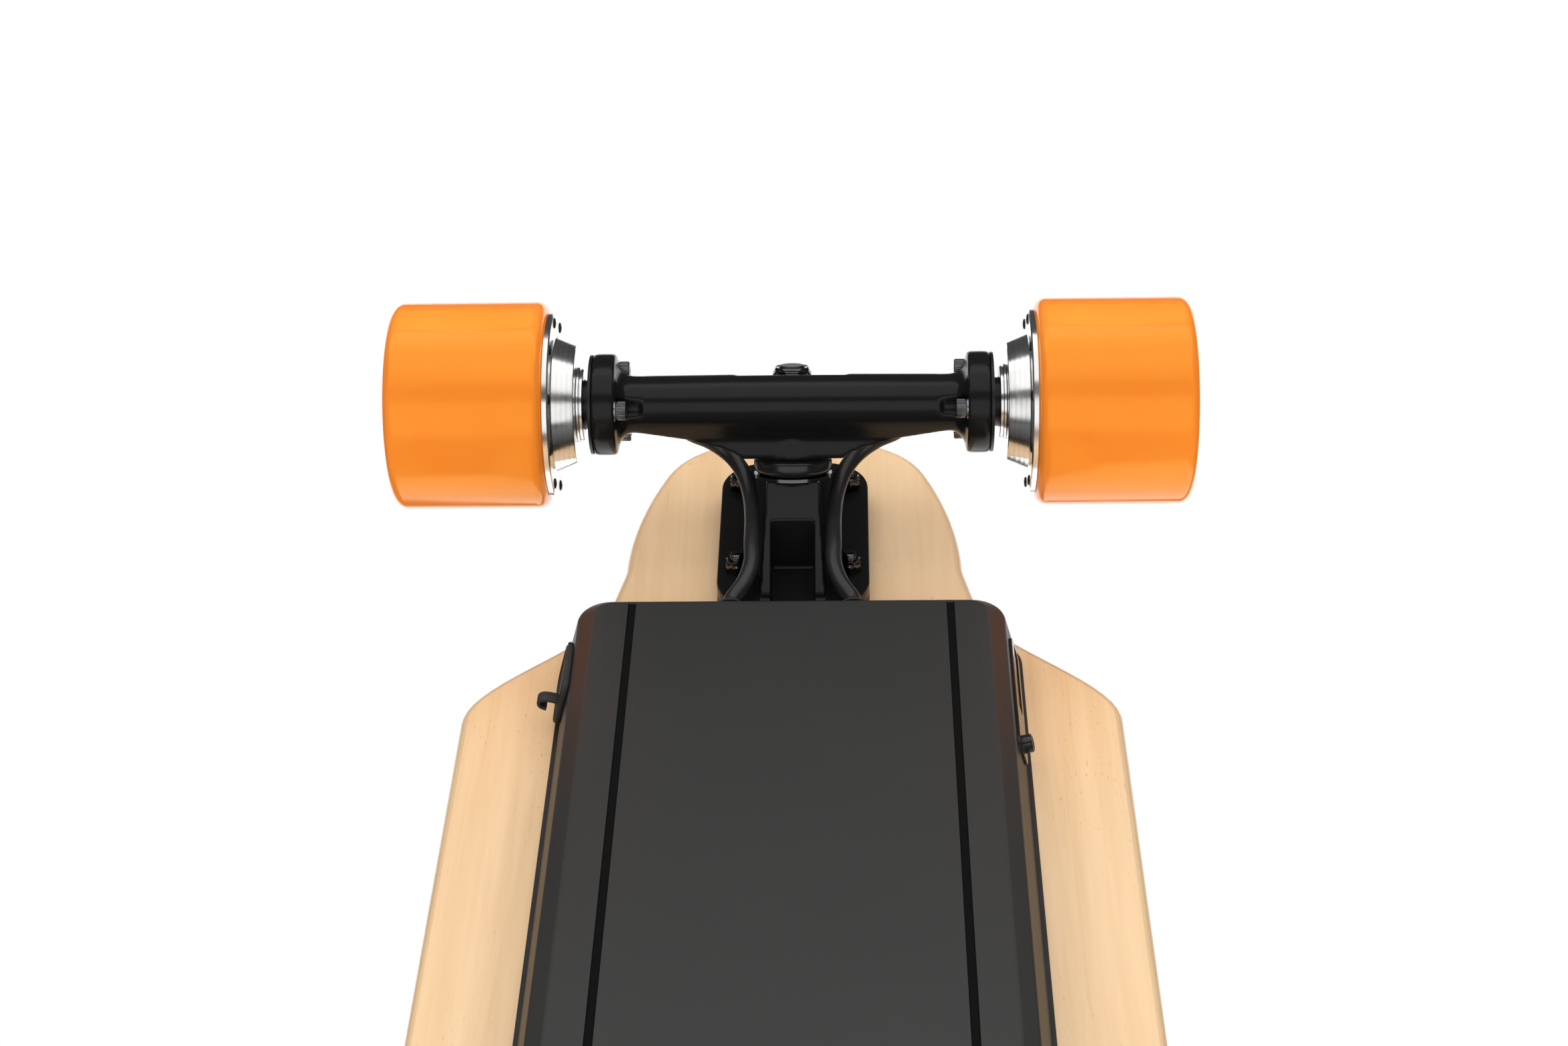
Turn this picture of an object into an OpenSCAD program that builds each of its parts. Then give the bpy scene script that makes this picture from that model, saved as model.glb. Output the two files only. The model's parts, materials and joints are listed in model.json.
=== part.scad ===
// Electric skateboard with two hub motors, standing on its wheels.
// Frame: +Z up, +Y towards the nose, origin under the middle of the board on the ground.
// A truck is drawn round its own middle, with +Y towards the middle of the board.

/* [Deck] */
// Length of the deck
deck_len = 930; // [860:10:1000]
// Width of the deck between the trucks
deck_w = 230; // [220:5:250]
// Thickness of the deck
deck_t = 11; // [10:0.5:13]
// Thickness of the grip tape
grip_t = 1; // [0.8:0.1:1.5]

/* [Wheels] */
// Outer diameter of the tyres
wheel_d = 75; // [74:0.5:80]
// Width of the tyres
wheel_w = 56; // [54:1:60]
// Distance between the two inner faces of a pair of tyres
wheel_gap = 176; // [174:1:186]
// Outer diameter of the hub motor's rotor can
can_d = 60; // [60:0.5:62]

/* [Trucks] */
// Distance from axle to axle
wheelbase = 780; // [760:5:840]
// Height of the deck's underside above the axles
ride_up = 64; // [63:0.5:68]
// Truck bolt spacing across the board
bolt_dx = 41.3; // [41:0.1:42]
// Truck bolt spacing along the board
bolt_dy = 54; // [53:0.5:55]
// Thickness of the riser pads
riser_t = 3; // [2:0.5:4]
// Thickness of the truck baseplates
plate_t = 6; // [5.5:0.5:7]
// Lean of the kingpin towards the end of the board
kingpin_lean = 22; // [20:1:24]
// Diameter of the kingpin
kingpin_d = 9.5; // [8:0.1:10]
// Diameter of the bushings
bushing_d = 29; // [27:0.5:30]

/* [Enclosure] */
// Length of the enclosure at its foot
tray_len = 660; // [640:5:660]
// Width of the enclosure at its foot
tray_w = 160; // [156:1:164]
// Depth of the enclosure below the deck
tray_h = 24; // [23:0.5:26]
// Wall thickness of the enclosure
tray_wall = 2; // [1.6:0.1:2.4]

/* [Hidden] */
$fn = 96;
LEFT = -1;
RIGHT = 1;
eps = 0.01;

axle_z = wheel_d / 2;
deck_z = axle_z + ride_up;
deck_top = deck_z + deck_t;
truck_y = wheelbase / 2;

// Places on the truck, as [towards the middle of the board, below the deck's underside]
plate_top = riser_t + plate_t;
plate_in = 50;
plate_out = 44;
plate_half = 28;
stack_base = [-3, 36.2];
ring_t = 7.5;
washer_t = 1.2;
yoke_t = 8;
yoke_r = 16;
upper_t = 15.2;
upper_r = 12.5;
pivot = [-33, 24];
pivot_r = 6.5;
seat_r = 10.5;
// Heights along the kingpin, from the middle of the board-side bushing
yoke_at = ring_t / 2;
upper_at = yoke_at + yoke_t;
nut_at = upper_at + upper_t + washer_t;
kingpin_end = 36.5;
kingpin_head = -28;
lean = [-sin(kingpin_lean), cos(kingpin_lean)];
yoke_mid = stack_base + (yoke_at + yoke_t / 2) * lean;
steer_run = pivot - yoke_mid;
steer_tilt = atan2(-steer_run[1], -steer_run[0]);
steer_len = norm(steer_run);

// Truck bolts and their nuts
bolt_r = 2.5;
bolt_hole_r = 2.8;
bolt_head_r = 4.9;
bolt_head_t = 2.6;
bolt_end = 16.5;
nut_flats = 8;

// Wheel stations, measured outwards from the middle of the board
tyre_in = wheel_gap / 2;
tyre_out = tyre_in + wheel_w;
can_r = can_d / 2;
can_wall = 2;
cover_disc_r = 33.6;
cover_disc_t = 2.5;
bearing_r = 14;
bearing_w = 8;
shaft_r = 6;
cover_face = tyre_in - cover_disc_t;
cone_face = tyre_in - 10.3;
step_face = tyre_in - 12.7;
flange_face = 72;
flange_r = 18.5;
beam_r = 10.4;
screw_circle = 13;
screw_first = -22.5;
rim_screws = 10;
rim_screw_circle = 30.5;

// Enclosure
tray_top = 1.5;
shoulder = tray_h - 2.5;
shoulder_in = 5.3;
shoulder_back = 3.5;
face_in = 10.5;
face_back = 7;
wall_tilt = atan2(shoulder_in, shoulder - tray_top);
wall_mid = (tray_top + shoulder) / 2;
wall_x = tray_w / 2 - shoulder_in / 2;
port_y = -292;
switch_y = -282;
switch_len = 60;
button_at = 24;
button_r = 3.2;
gland_x = 22;
gland_w = 13;
boss_x = tray_w / 2 - 11;
boss_rows = [-318, -240, -150, -50, 50, 150, 240, 318];
boss_r = 3.8;
rear_face_y = -tray_len / 2 + shoulder_back / 2;

// Motor cable route on the right, as [outwards, towards the middle, below the deck],
// in truck places: out of the hanger, under it, past the bushing tower, to the gland.
cable_d = 6;
cable_route = [
    [44, -11, 51], [42, -14, 46], [38, -17, 40], [31, -19, 35], [24, -16, 31], [19, -9, 28],
    [16, 2, 25], [15, 14, 23], [15, 26, 21], [15, 36, 18.5], [17.5, 45, 16], [22, 52, 13], [22, 57.5, 13]
];
// Battery lead route, as [across, along the board, below the deck]
lead_d = 4;
lead_route = [
    [30, -215, 6], [31, -206, 6], [40, -190, 6], [52, -170, 6], [56, -150, 6], [56, -110, 6],
    [54, -80, 6], [46, -62, 6], [34, -52, 6], [32, -44, 6]
];

// ---------- helpers ----------

module at_rear() {
    translate([0, -truck_y, 0]) children();
}

module at_front() {
    rotate([0, 0, 180]) translate([0, -truck_y, 0]) children();
}

module both_trucks() {
    at_rear() children();
    at_front() children();
}

// A point on the truck's middle plane, at [towards the middle, below the deck]
module at_place(p) {
    translate([0, p[0], deck_z - p[1]]) children();
}

// Frame on the kingpin: +Z along it, away from the deck
module on_kingpin() {
    at_place(stack_base) rotate([180 - kingpin_lean, 0, 0]) children();
}

// Frame on the steering axis at the pivot: +Z towards the pivot cup's closed end
module on_pivot() {
    at_place(pivot) rotate([90 - steer_tilt, 0, 0]) children();
}

// Frame on the axle: +Z outwards on the given side
module on_axle(side, y) {
    translate([0, y, axle_z]) rotate([0, side * 90, 0]) children();
}

module on_both_axles(y) {
    for (side = [LEFT, RIGHT]) on_axle(side, y) children();
}

// A ring or disc between two stations on an axis
module ring(r, r_in, from, to) {
    translate([0, 0, from]) difference() {
        cylinder(r = r, h = to - from);
        if (r_in > 0) translate([0, 0, -1]) cylinder(r = r_in, h = to - from + 2);
    }
}

module truck_holes() {
    for (x = [-1, 1], y = [-1, 1]) translate([x * bolt_dx / 2, y * bolt_dy / 2, 0]) children();
}

// Frame on a side wall of the enclosure: +Z out of the wall, +X down it
module on_wall(side, y) {
    mirror([side == LEFT ? 1 : 0, 0, 0])
        translate([wall_x, y, deck_z - wall_mid]) rotate([0, 90 + wall_tilt, 0]) children();
}

// Flat plate with round corners, from two squares and four discs
module round_plate(x, y, r) {
    square([x - 2 * r, y], center = true);
    square([x, y - 2 * r], center = true);
    for (i = [-1, 1], j = [-1, 1]) translate([i * (x / 2 - r), j * (y / 2 - r)]) circle(r = r, $fn = 48);
}

// Tube swept along points, each ring square to the route
function unit(v) = v / norm(v);
function way(p, i) = unit(p[min(i + 1, len(p) - 1)] - p[max(i - 1, 0)]);
function across(t) = unit(cross(t, abs(t[2]) < 0.9 ? [0, 0, 1] : [0, 1, 0]));
function tube_points(p, r, n) = [
    for (i = [0 : len(p) - 1], k = [0 : n - 1])
        let (t = way(p, i), a = across(t), b = cross(t, a), q = 360 * k / n)
            p[i] + r * (cos(q) * a + sin(q) * b)
];
function tube_faces(m, n) = concat(
    [[for (k = [0 : n - 1]) k]],
    [for (i = [0 : m - 2], k = [0 : n - 1])
        [i * n + k, (i + 1) * n + k, (i + 1) * n + (k + 1) % n, i * n + (k + 1) % n]],
    [[for (k = [n - 1 : -1 : 0]) (m - 1) * n + k]]
);

module tube(p, d, n) {
    polyhedron(points = tube_points(p, d / 2, n), faces = tube_faces(len(p), n), convexity = 6);
}

// ---------- deck ----------

// Half width of the deck at a distance from either tip
tip_run = 28;
neck_run = 89;
neck_half = 62.8;
flare_from = 112;
flare_to = 177;
flare_half = 67.4;
function ease(t) = t * t * (3 - 2 * t);
function tail_half(s) = neck_half - pow(neck_run - s, 2) / 340;
function tip_half(s) = tail_half(s) * pow(1 - pow((tip_run - s) / tip_run, 3), 1 / 3);
function neck_to_flare(s) = neck_half + (flare_half - neck_half) * (s - neck_run) / (flare_from - neck_run);
function deck_half(s) =
    s < tip_run ? tip_half(s) :
    s < neck_run ? tail_half(s) :
    s < flare_from ? neck_to_flare(s) :
    s < flare_to ? flare_half + (deck_w / 2 - flare_half) * ease((s - flare_from) / (flare_to - flare_from)) :
    deck_w / 2;
edge_steps = concat(
    [0.1, 0.4, 1, 2, 3.5, 5.5, 8, 11, 15, 19, 23],
    [for (s = [28 : 8 : 84]) s],
    [for (s = [90 : 6 : 180]) s]
);
function edge(side, end) = [for (s = edge_steps) [side * deck_half(s), end * (deck_len / 2 - s)]];
function turned(list) = [for (i = [len(list) - 1 : -1 : 0]) list[i]];
deck_outline = concat(edge(1, 1), turned(edge(1, -1)), edge(-1, -1), turned(edge(-1, 1)));

module deck() {
    color("burlywood") difference() {
        translate([0, 0, deck_z]) linear_extrude(deck_t) polygon(deck_outline);
        both_trucks() truck_holes() {
            translate([0, 0, deck_z - 1]) cylinder(r = bolt_hole_r, h = deck_t + 2);
            translate([0, 0, deck_top - bolt_head_t + grip_t])
                cylinder(r1 = bolt_hole_r, r2 = bolt_head_r + 0.3, h = bolt_head_t + eps);
        }
        for (x = [-boss_x, boss_x], y = boss_rows) translate([x, y, 0]) {
            translate([0, 0, deck_z - 1]) cylinder(r = 2.2, h = deck_t + 2, $fn = 32);
            translate([0, 0, deck_top - 2.4]) cylinder(r1 = 2.2, r2 = 4.2, h = 2.5, $fn = 32);
        }
    }
}

module grip_tape() {
    color("dimgray") difference() {
        translate([0, 0, deck_top]) linear_extrude(grip_t) polygon([
            for (p = deck_outline) [p[0] * (1 - 4 / deck_w), p[1] * (1 - 4 / deck_len)]
        ]);
        both_trucks() truck_holes()
            translate([0, 0, deck_top - 1]) cylinder(r = bolt_head_r + 0.4, h = grip_t + 2);
    }
}

// ---------- enclosure ----------

module tray_slice(w, inset_x, inset_y, r) {
    translate([0, 0, deck_z - w - eps]) linear_extrude(eps)
        round_plate(tray_w - 2 * inset_x, tray_len - 2 * inset_y, r);
}

module enclosure() {
    color("#26272a") difference() {
        union() {
            difference() {
                hull() {
                    tray_slice(tray_top, 0, 0, 15);
                    tray_slice(shoulder, shoulder_in, shoulder_back, 11);
                    tray_slice(tray_h, face_in, face_back, 7);
                }
                hull() {
                    tray_slice(tray_top - 1, tray_wall - 0.2, tray_wall - 0.2, 14);
                    tray_slice(tray_h - tray_wall, shoulder_in + tray_wall, shoulder_back + tray_wall, 10);
                }
            }
            for (x = [-boss_x, boss_x], y = boss_rows)
                translate([x, y, deck_z - tray_h + tray_wall - 0.1])
                    cylinder(r = boss_r, h = tray_h - tray_wall + 0.1 - tray_top - eps, $fn = 32);
        }
        for (x = [-boss_x, boss_x], y = boss_rows)
            translate([x, y, deck_z - 14]) cylinder(r = 2, h = 20, $fn = 32);
        for (x = [-56, 56]) translate([x, 0, deck_z - tray_h]) cube([2.6, tray_len, 2], center = true);
        on_wall(LEFT, port_y) cylinder(r = 6.1, h = 12, center = true);
        on_wall(RIGHT, switch_y) cube([9, switch_len - 5, 12], center = true);
        for (x = [-gland_x, gland_x])
            translate([x, rear_face_y, deck_z - gland_w]) rotate([90, 0, 0]) cylinder(r = 5.1, h = 14, center = true);
    }
}

module gasket() {
    color("black") translate([0, 0, deck_z - tray_top]) linear_extrude(tray_top) difference() {
        round_plate(tray_w + 3, tray_len + 3, 16.5);
        round_plate(tray_w - 32, tray_len - 18, 6);
        for (x = [-boss_x, boss_x], y = boss_rows) translate([x, y]) circle(r = 2.3, $fn = 32);
    }
}

module enclosure_screws() {
    color("dimgray") for (x = [-boss_x, boss_x], y = boss_rows) translate([x, y, 0]) {
        translate([0, 0, deck_z - 11]) cylinder(r = 1.95, h = deck_t + 9, $fn = 32);
        translate([0, 0, deck_top - 2.2]) cylinder(r1 = 1.95, r2 = 4, h = 2.2, $fn = 32);
    }
}

module port_cover() {
    color("#1a1a1a") on_wall(LEFT, port_y) difference() {
        union() {
            translate([0, 0, 0.3]) linear_extrude(2.4) round_plate(18, 28, 5);
            translate([0, -15.5, 1.1]) rotate([0, 90, 0]) cylinder(r = 1, h = 12, center = true, $fn = 32);
            translate([-5, -15.5, 0.5]) cube([10, 2, 1.5]);
            translate([-2.5, 8.5, 2]) cube([5, 5, 7.5]);
        }
        translate([0, 0, -1]) cylinder(r = 8.4, h = 2.6);
    }
}

module charge_socket() {
    color("silver") on_wall(LEFT, port_y) difference() {
        union() {
            translate([0, 0, -13]) cylinder(r = 5.9, h = 13.2);
            translate([0, 0, -0.3]) translate([0, 0, 0.5]) cylinder(r = 7.6, h = 1);
        }
        translate([0, 0, -9]) cylinder(r = 2.8, h = 12);
    }
}

module switch_housing() {
    color("#1d1a1a") on_wall(RIGHT, switch_y) difference() {
        union() {
            translate([0, 0, 0.02]) linear_extrude(1.2) round_plate(12, switch_len, 4);
            translate([0, 0, -5.5]) cube([8.8, switch_len - 5.4, 11.04], center = true);
        }
        translate([0, button_at, -2]) cylinder(r = button_r + 0.05, h = 6);
        translate([0, button_at, -9]) cylinder(r = button_r + 0.3, h = 7.01);
        translate([0, -11, 0.6]) linear_extrude(2) round_plate(6, 34, 2);
    }
}

module power_button() {
    color("#1a1a1c") on_wall(RIGHT, switch_y) translate([0, button_at, -6]) cylinder(r = button_r, h = 10.4);
}

module cable_glands() {
    color("black") for (x = [-gland_x, gland_x])
        translate([x, -truck_y, deck_z - gland_w]) rotate([-90, 0, 0]) difference() {
            union() {
                translate([0, 0, 57.6]) cylinder(r1 = 5, r2 = 6.8, h = 2.6);
                translate([0, 0, 60.2]) cylinder(r = 5, h = 9);
            }
            translate([0, 0, 66]) cylinder(r = 3.1, h = 5);
        }
}

module motor_cables() {
    color("#141414") at_rear() for (side = [LEFT, RIGHT])
        tube([for (p = cable_route) [side * p[0], p[1], deck_z - p[2]]], cable_d, 10);
}

// ---------- battery and electronics ----------

cell_r = 9.1;
cell_len = 65;
cell_pitch = 18.7;
cell_rows = 5;
cell_cols = 6;
row_pitch = 69;
cell_w = 11.6;
battery_y = -36;
module each_cell() {
    for (i = [0 : cell_cols - 1], j = [0 : cell_rows - 1])
        translate([(i - (cell_cols - 1) / 2) * cell_pitch, battery_y + j * row_pitch, deck_z - cell_w])
            rotate([-90, 0, 0]) children();
}

module battery_cells() {
    color("seagreen") each_cell() {
        cylinder(r = cell_r, h = cell_len - 1, $fn = 48);
        translate([0, 0, cell_len - 1]) cylinder(r = 3, h = 1, $fn = 24);
    }
}

module cell_holders() {
    color("#222222") difference() {
        for (j = [0 : cell_rows - 1], end = [3, cell_len - 10])
            translate([0, battery_y + j * row_pitch + end + 3, deck_z - cell_w])
                cube([cell_cols * cell_pitch + 1, 6, 19], center = true);
        each_cell() translate([0, 0, -1]) cylinder(r = cell_r + 0.05, h = cell_len + 2, $fn = 48);
    }
}

module nickel_strips() {
    color("silver") for (j = [0 : cell_rows - 1], end = [-0.35, cell_len + 0.05], k = [0 : 1])
        translate([(k - 0.5) * 3 * cell_pitch - 26, battery_y + j * row_pitch + end, deck_z - cell_w - 4])
            cube([52, 0.25, 8]);
}

module battery_board() {
    color("darkgreen") translate([0, -110, deck_z - tray_h + tray_wall]) {
        translate([-38, -28, 4]) cube([76, 56, 1.6]);
        for (x = [-33, 33], y = [-23, 23]) translate([x, y, 0.02]) cylinder(r = 2.5, h = 4, $fn = 24);
        for (i = [0 : 7]) translate([-34 + i * 8.6, -20, 5.6]) cube([6, 9, 2.2]);
        for (i = [0 : 4]) translate([-32 + i * 13, 6, 5.6]) cube([9, 6, 1.4]);
        translate([-12, 16, 5.6]) cube([24, 7, 6]);
    }
}

module heat_spreader() {
    color("lightgray") translate([-48, -292, deck_z - tray_h + tray_wall + 0.02]) cube([96, 82, 4]);
}

module motor_controller() {
    color("darkblue") translate([0, -251, deck_z - tray_h + tray_wall + 4.04]) {
        translate([-46, -39, 3.2]) cube([92, 78, 1.6]);
        for (i = [0 : 5], y = [-34, 12]) translate([-43 + i * 15, y, 0]) cube([10, 22, 3.2]);
        for (i = [0 : 3]) translate([-30 + i * 20, -16, 9.9]) rotate([-90, 0, 0]) cylinder(r = 5.1, h = 28, $fn = 32);
    }
}

module radio_receiver() {
    color("purple") translate([-40, -165, deck_z - tray_h + tray_wall + 0.02]) {
        cube([34, 22, 3]);
        translate([4, 4, 3]) cube([14, 12, 1.4]);
        translate([26, 3, 3]) cylinder(r = 1, h = 8, $fn = 16);
    }
}

module battery_leads() {
    color("red") for (w = [0, 5])
        tube([for (p = lead_route) [p[0], p[1], deck_z - p[2] - w]], lead_d, 8);
}

// ---------- truck parts on the deck ----------

module plate_outline() {
    translate([0, (plate_in - plate_out) / 2]) round_plate(2 * plate_half, plate_in + plate_out, 17);
}

module risers() {
    color("#3b2a22") both_trucks() difference() {
        translate([0, 0, deck_z - riser_t]) linear_extrude(riser_t) plate_outline();
        truck_holes() translate([0, 0, deck_z - riser_t - 1]) cylinder(r = bolt_hole_r, h = riser_t + 2);
    }
}

// The bushing tower's side outline on the truck's middle plane
seat_mid = stack_base - (ring_t / 2 + washer_t) * lean;
seat_dir = [cos(kingpin_lean), sin(kingpin_lean)];
tower_side = [
    seat_mid + 12 * seat_dir, seat_mid - 12 * seat_dir,
    [-8, plate_top - 1], [plate_in - 4, plate_top - 1], [plate_in - 5, plate_top + 2]
];

module tower_slab(w) {
    rotate([90, 0, 90]) translate([0, 0, -w / 2]) linear_extrude(w)
        polygon([for (p = tower_side) [p[0], deck_z - p[1]]]);
}

// The tower's outline from the end of the board: straight, then spreading to the plate
module tower_front() {
    polygon([for (p = [
        [-12.2, plate_top - 2], [12.2, plate_top - 2], [9.8, plate_top + 20], [9.8, 60], [-9.8, 60],
        [-9.8, plate_top + 20]
    ]) [p[0], deck_z - p[1]]]);
}

module baseplate() {
    difference() {
        union() {
            translate([0, 0, deck_z - plate_top]) linear_extrude(plate_t) plate_outline();
            intersection() {
                tower_slab(26);
                translate([0, plate_in + 10, 0]) rotate([90, 0, 0]) linear_extrude(plate_in + plate_out + 20)
                    tower_front();
            }
            on_kingpin() translate([0, 0, -ring_t / 2 - washer_t - 14]) linear_extrude(14) round_plate(19.6, 25, 4);
            intersection() {
                on_pivot() translate([0, 0, -4]) cylinder(r = 11, h = 24);
                translate([-15, -plate_out, deck_z - 60]) cube([30, 60, 60 - riser_t - 1]);
            }
            for (x = [-9, 6]) translate([x, -plate_out + 4, deck_z - plate_top - 5]) cube([3, 12, 6]);
        }
        truck_holes() translate([0, 0, deck_z - 20]) cylinder(r = bolt_hole_r, h = 20);
        on_kingpin() translate([0, 0, kingpin_head - 20]) cylinder(r = kingpin_d / 2 + 0.05, h = 60);
        on_kingpin() translate([0, 0, kingpin_head - 12]) cylinder(r = 8.6, h = 18);
        on_pivot() translate([0, 0, -14]) cylinder(r = pivot_r + 2.05, h = 23);
        translate([-7.9, 22, deck_z - 60]) cube([15.8, plate_in - 3 - 22, 60 - riser_t - 3]);
    }
}

module rear_baseplate() {
    color("#1c1c1e") at_rear() baseplate();
}

module front_baseplate() {
    color("#1c1c1e") at_front() baseplate();
}

module deck_bolts() {
    color("#2a2a2c") both_trucks() truck_holes() {
        translate([0, 0, deck_z - bolt_end]) cylinder(r = bolt_r, h = bolt_end + deck_t, $fn = 32);
        translate([0, 0, deck_top + grip_t - bolt_head_t - 0.2])
            cylinder(r1 = bolt_r, r2 = bolt_head_r, h = bolt_head_t, $fn = 32);
    }
}

module deck_nuts() {
    color("#3c3c40") both_trucks() truck_holes() translate([0, 0, deck_z - plate_top]) difference() {
        union() {
            translate([0, 0, -4]) cylinder(r = nut_flats / 2 / cos(30), h = 4, $fn = 6);
            translate([0, 0, -5]) cylinder(r = 3.7, h = 2, $fn = 32);
        }
        translate([0, 0, -6]) cylinder(r = bolt_r + 0.02, h = 7, $fn = 32);
    }
}

module kingpins() {
    color("#2c2c2e") both_trucks() on_kingpin() {
        translate([0, 0, kingpin_head]) cylinder(r = kingpin_d / 2, h = kingpin_end - kingpin_head - 0.6);
        translate([0, 0, kingpin_end - 0.6]) cylinder(r1 = kingpin_d / 2, r2 = kingpin_d / 2 - 0.6, h = 0.6);
        translate([0, 0, kingpin_head]) cylinder(r = 8, h = 5.9, $fn = 6);
    }
}

module kingpin_nuts() {
    color("#4a4a4e") both_trucks() on_kingpin() translate([0, 0, nut_at]) difference() {
        union() {
            cylinder(r = 14.3 / 2 / cos(30), h = 6, $fn = 6);
            translate([0, 0, 5.8]) cylinder(r = 6.4, h = 2);
        }
        translate([0, 0, -1]) cylinder(r = kingpin_d / 2 + 0.02, h = 12);
    }
}

module cup_washers() {
    color("#8a8a8e") both_trucks() on_kingpin() {
        ring(bushing_d / 2, kingpin_d / 2 + 0.1, -ring_t / 2 - washer_t, -ring_t / 2);
        ring(upper_r, kingpin_d / 2 + 0.1, nut_at - washer_t, nut_at);
    }
}

module pivot_cups() {
    color("#2b2b2b") both_trucks() on_pivot() difference() {
        translate([0, 0, -4]) cylinder(r = pivot_r + 2, h = 12.9);
        translate([0, 0, -10]) cylinder(r = pivot_r + 0.06, h = 16);
    }
}

// Both bushings of one truck, round the kingpin
module bushings() {
    color("#161616") on_kingpin() {
        difference() {
            rotate_extrude() translate([0, -ring_t / 2]) {
                translate([7, 0]) square([bushing_d / 2 - 9, ring_t - 0.3]);
                translate([7, 2]) square([bushing_d / 2 - 7, ring_t - 4.3]);
                for (h = [2, ring_t - 2.3]) translate([bushing_d / 2 - 2, h]) circle(r = 2, $fn = 32);
            }
            translate([0, 0, -10]) cylinder(r = kingpin_d / 2 + 0.6, h = 20);
        }
        translate([0, 0, upper_at + 0.3]) difference() {
            cylinder(r1 = upper_r, r2 = upper_r - 2, h = upper_t - 0.3);
            translate([0, 0, -1]) cylinder(r = kingpin_d / 2 + 0.6, h = 20);
        }
    }
}

module rear_bushings() {
    at_rear() bushings();
}

module front_bushings() {
    at_front() bushings();
}

// ---------- hangers ----------

// Side outline of the web between beam and yoke, on the truck's middle plane
web_side = [
    [9.8, 60.2], yoke_mid + yoke_t / 2 * lean + 15.4 * seat_dir, yoke_mid - (yoke_t / 2 - 0.4) * lean + 15.4 * seat_dir,
    yoke_mid - (yoke_t / 2 - 0.4) * lean - 6 * seat_dir, [-8, 56]
];
web_z = deck_z - yoke_mid[1] + 9;
// Half of the web's outline seen from the end of the board: a shallow belly, then a narrow neck
web_front = [
    [-1, axle_z - 12], [60, axle_z - 12], [60, axle_z + 6.5], [27.5, axle_z + 14.3], [20, axle_z + 17],
    [14.5, web_z], [-1, web_z]
];

// Yoke round the kingpin, with the nose that turns in the pivot cup
module yoke_and_nose() {
    on_kingpin() translate([0, 0, yoke_at]) cylinder(r = yoke_r, h = yoke_t);
    intersection() {
        rotate([90, 0, 90]) translate([0, 0, -62]) linear_extrude(124)
            polygon([for (p = web_side) [p[0], deck_z - p[1]]]);
        rotate([90, 0, 0]) translate([0, 0, -40]) linear_extrude(80) for (side = [LEFT, RIGHT])
            polygon([for (p = web_front) [side * p[0], p[1]]]);
    }
    on_pivot() {
        translate([0, 0, -steer_len + 12]) cylinder(r1 = 9.5, r2 = pivot_r, h = 12);
        translate([0, 0, -steer_len + 20]) cylinder(r = pivot_r, h = steer_len - 22);
        translate([0, 0, -2.1]) cylinder(r1 = pivot_r, r2 = pivot_r - 2, h = 4);
    }
}

// Room for the kingpin, both bushings, their washers and the nut while the hanger steers
module stack_room() {
    on_kingpin() {
        translate([0, 0, yoke_at - 20]) cylinder(r = bushing_d / 2 + 1.2, h = 20);
        translate([0, 0, -5]) cylinder(r = kingpin_d / 2 + 2, h = 40);
        translate([-19.5, -13.5, upper_at]) cube([39, 53, 60]);
    }
}

module rear_hanger() {
    color("#1c1c1e") at_rear() difference() {
        union() {
            yoke_and_nose();
            on_both_axles(0) {
                rotate_extrude() polygon([
                    [0, 0], [10.8, 0], [beam_r, 57],
                    for (q = [0 : 15 : 90]) [flange_r - 0.5 - 7.6 * cos(q), 57.5 + 6 * sin(q)],
                    [flange_r, 64.2], [flange_r, flange_face - 0.6], [flange_r - 0.6, flange_face], [0, flange_face]
                ]);
            }
        }
        stack_room();
        for (side = [LEFT, RIGHT]) on_axle(side, 0) {
            translate([0, 0, flange_face - 4]) cylinder(r = 16.4, h = 5);
            flange_screw_places(side) {
                translate([0, 0, 54]) cylinder(r = 4.4, h = 9.6, $fn = 32);
                translate([0, 0, 60]) cylinder(r = 2.1, h = 12, $fn = 32);
            }
        }
    }
}

// The screws stand at the same three places on both flanges, seen along the axle
module flange_screw_places(side) {
    for (i = [0 : 2]) rotate([0, 0, 120 * i + 90 + side * screw_first]) translate([screw_circle, 0, 0]) children();
}

module flange_screws() {
    color("#5c5c60") at_rear() for (side = [LEFT, RIGHT]) on_axle(side, 0) flange_screw_places(side) difference() {
        union() {
            translate([0, 0, 59.2]) cylinder(r = 3.5, h = 4, $fn = 32);
            translate([0, 0, 63.2]) cylinder(r = 4.2, h = 0.4, $fn = 32);
            translate([0, 0, 63]) cylinder(r = 2, h = 8.5, $fn = 32);
        }
        translate([0, 0, 59]) cylinder(r = 1.7, h = 2.2, $fn = 6);
    }
}

module motor_axles() {
    color("#2a2a2c") at_rear() for (side = [LEFT, RIGHT]) on_axle(side, 0) difference() {
        union() {
            ring(16.3, 0, flange_face - 4, flange_face);
            ring(flange_r - 0.4, 0, flange_face, flange_face + 1);
            ring(8.9, 0, flange_face + 1, step_face + 3);
            ring(7.5, 0, step_face + 3, step_face + 4.7);
            ring(shaft_r, 0, step_face + 4.7, tyre_out - 5);
            ring(8, 0, tyre_in + 0.3, tyre_out - 14.3);
        }
        flange_screw_places(side) translate([0, 0, flange_face - 5]) cylinder(r = 2.02, h = 5, $fn = 32);
    }
}

teeth = 12;
stator_in = tyre_in + 10;
stator_out = tyre_out - 20;
module stator_cores() {
    color("#77777a") at_rear() on_both_axles(0) translate([0, 0, stator_in]) difference() {
        linear_extrude(stator_out - stator_in) {
            circle(r = 13);
            for (i = [0 : teeth - 1]) rotate(360 / teeth * i) {
                translate([12, -2]) square([12, 4]);
                translate([22.6, -5]) square([2, 10]);
            }
        }
        translate([0, 0, -1]) cylinder(r = 8.02, h = 40);
    }
}

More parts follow.
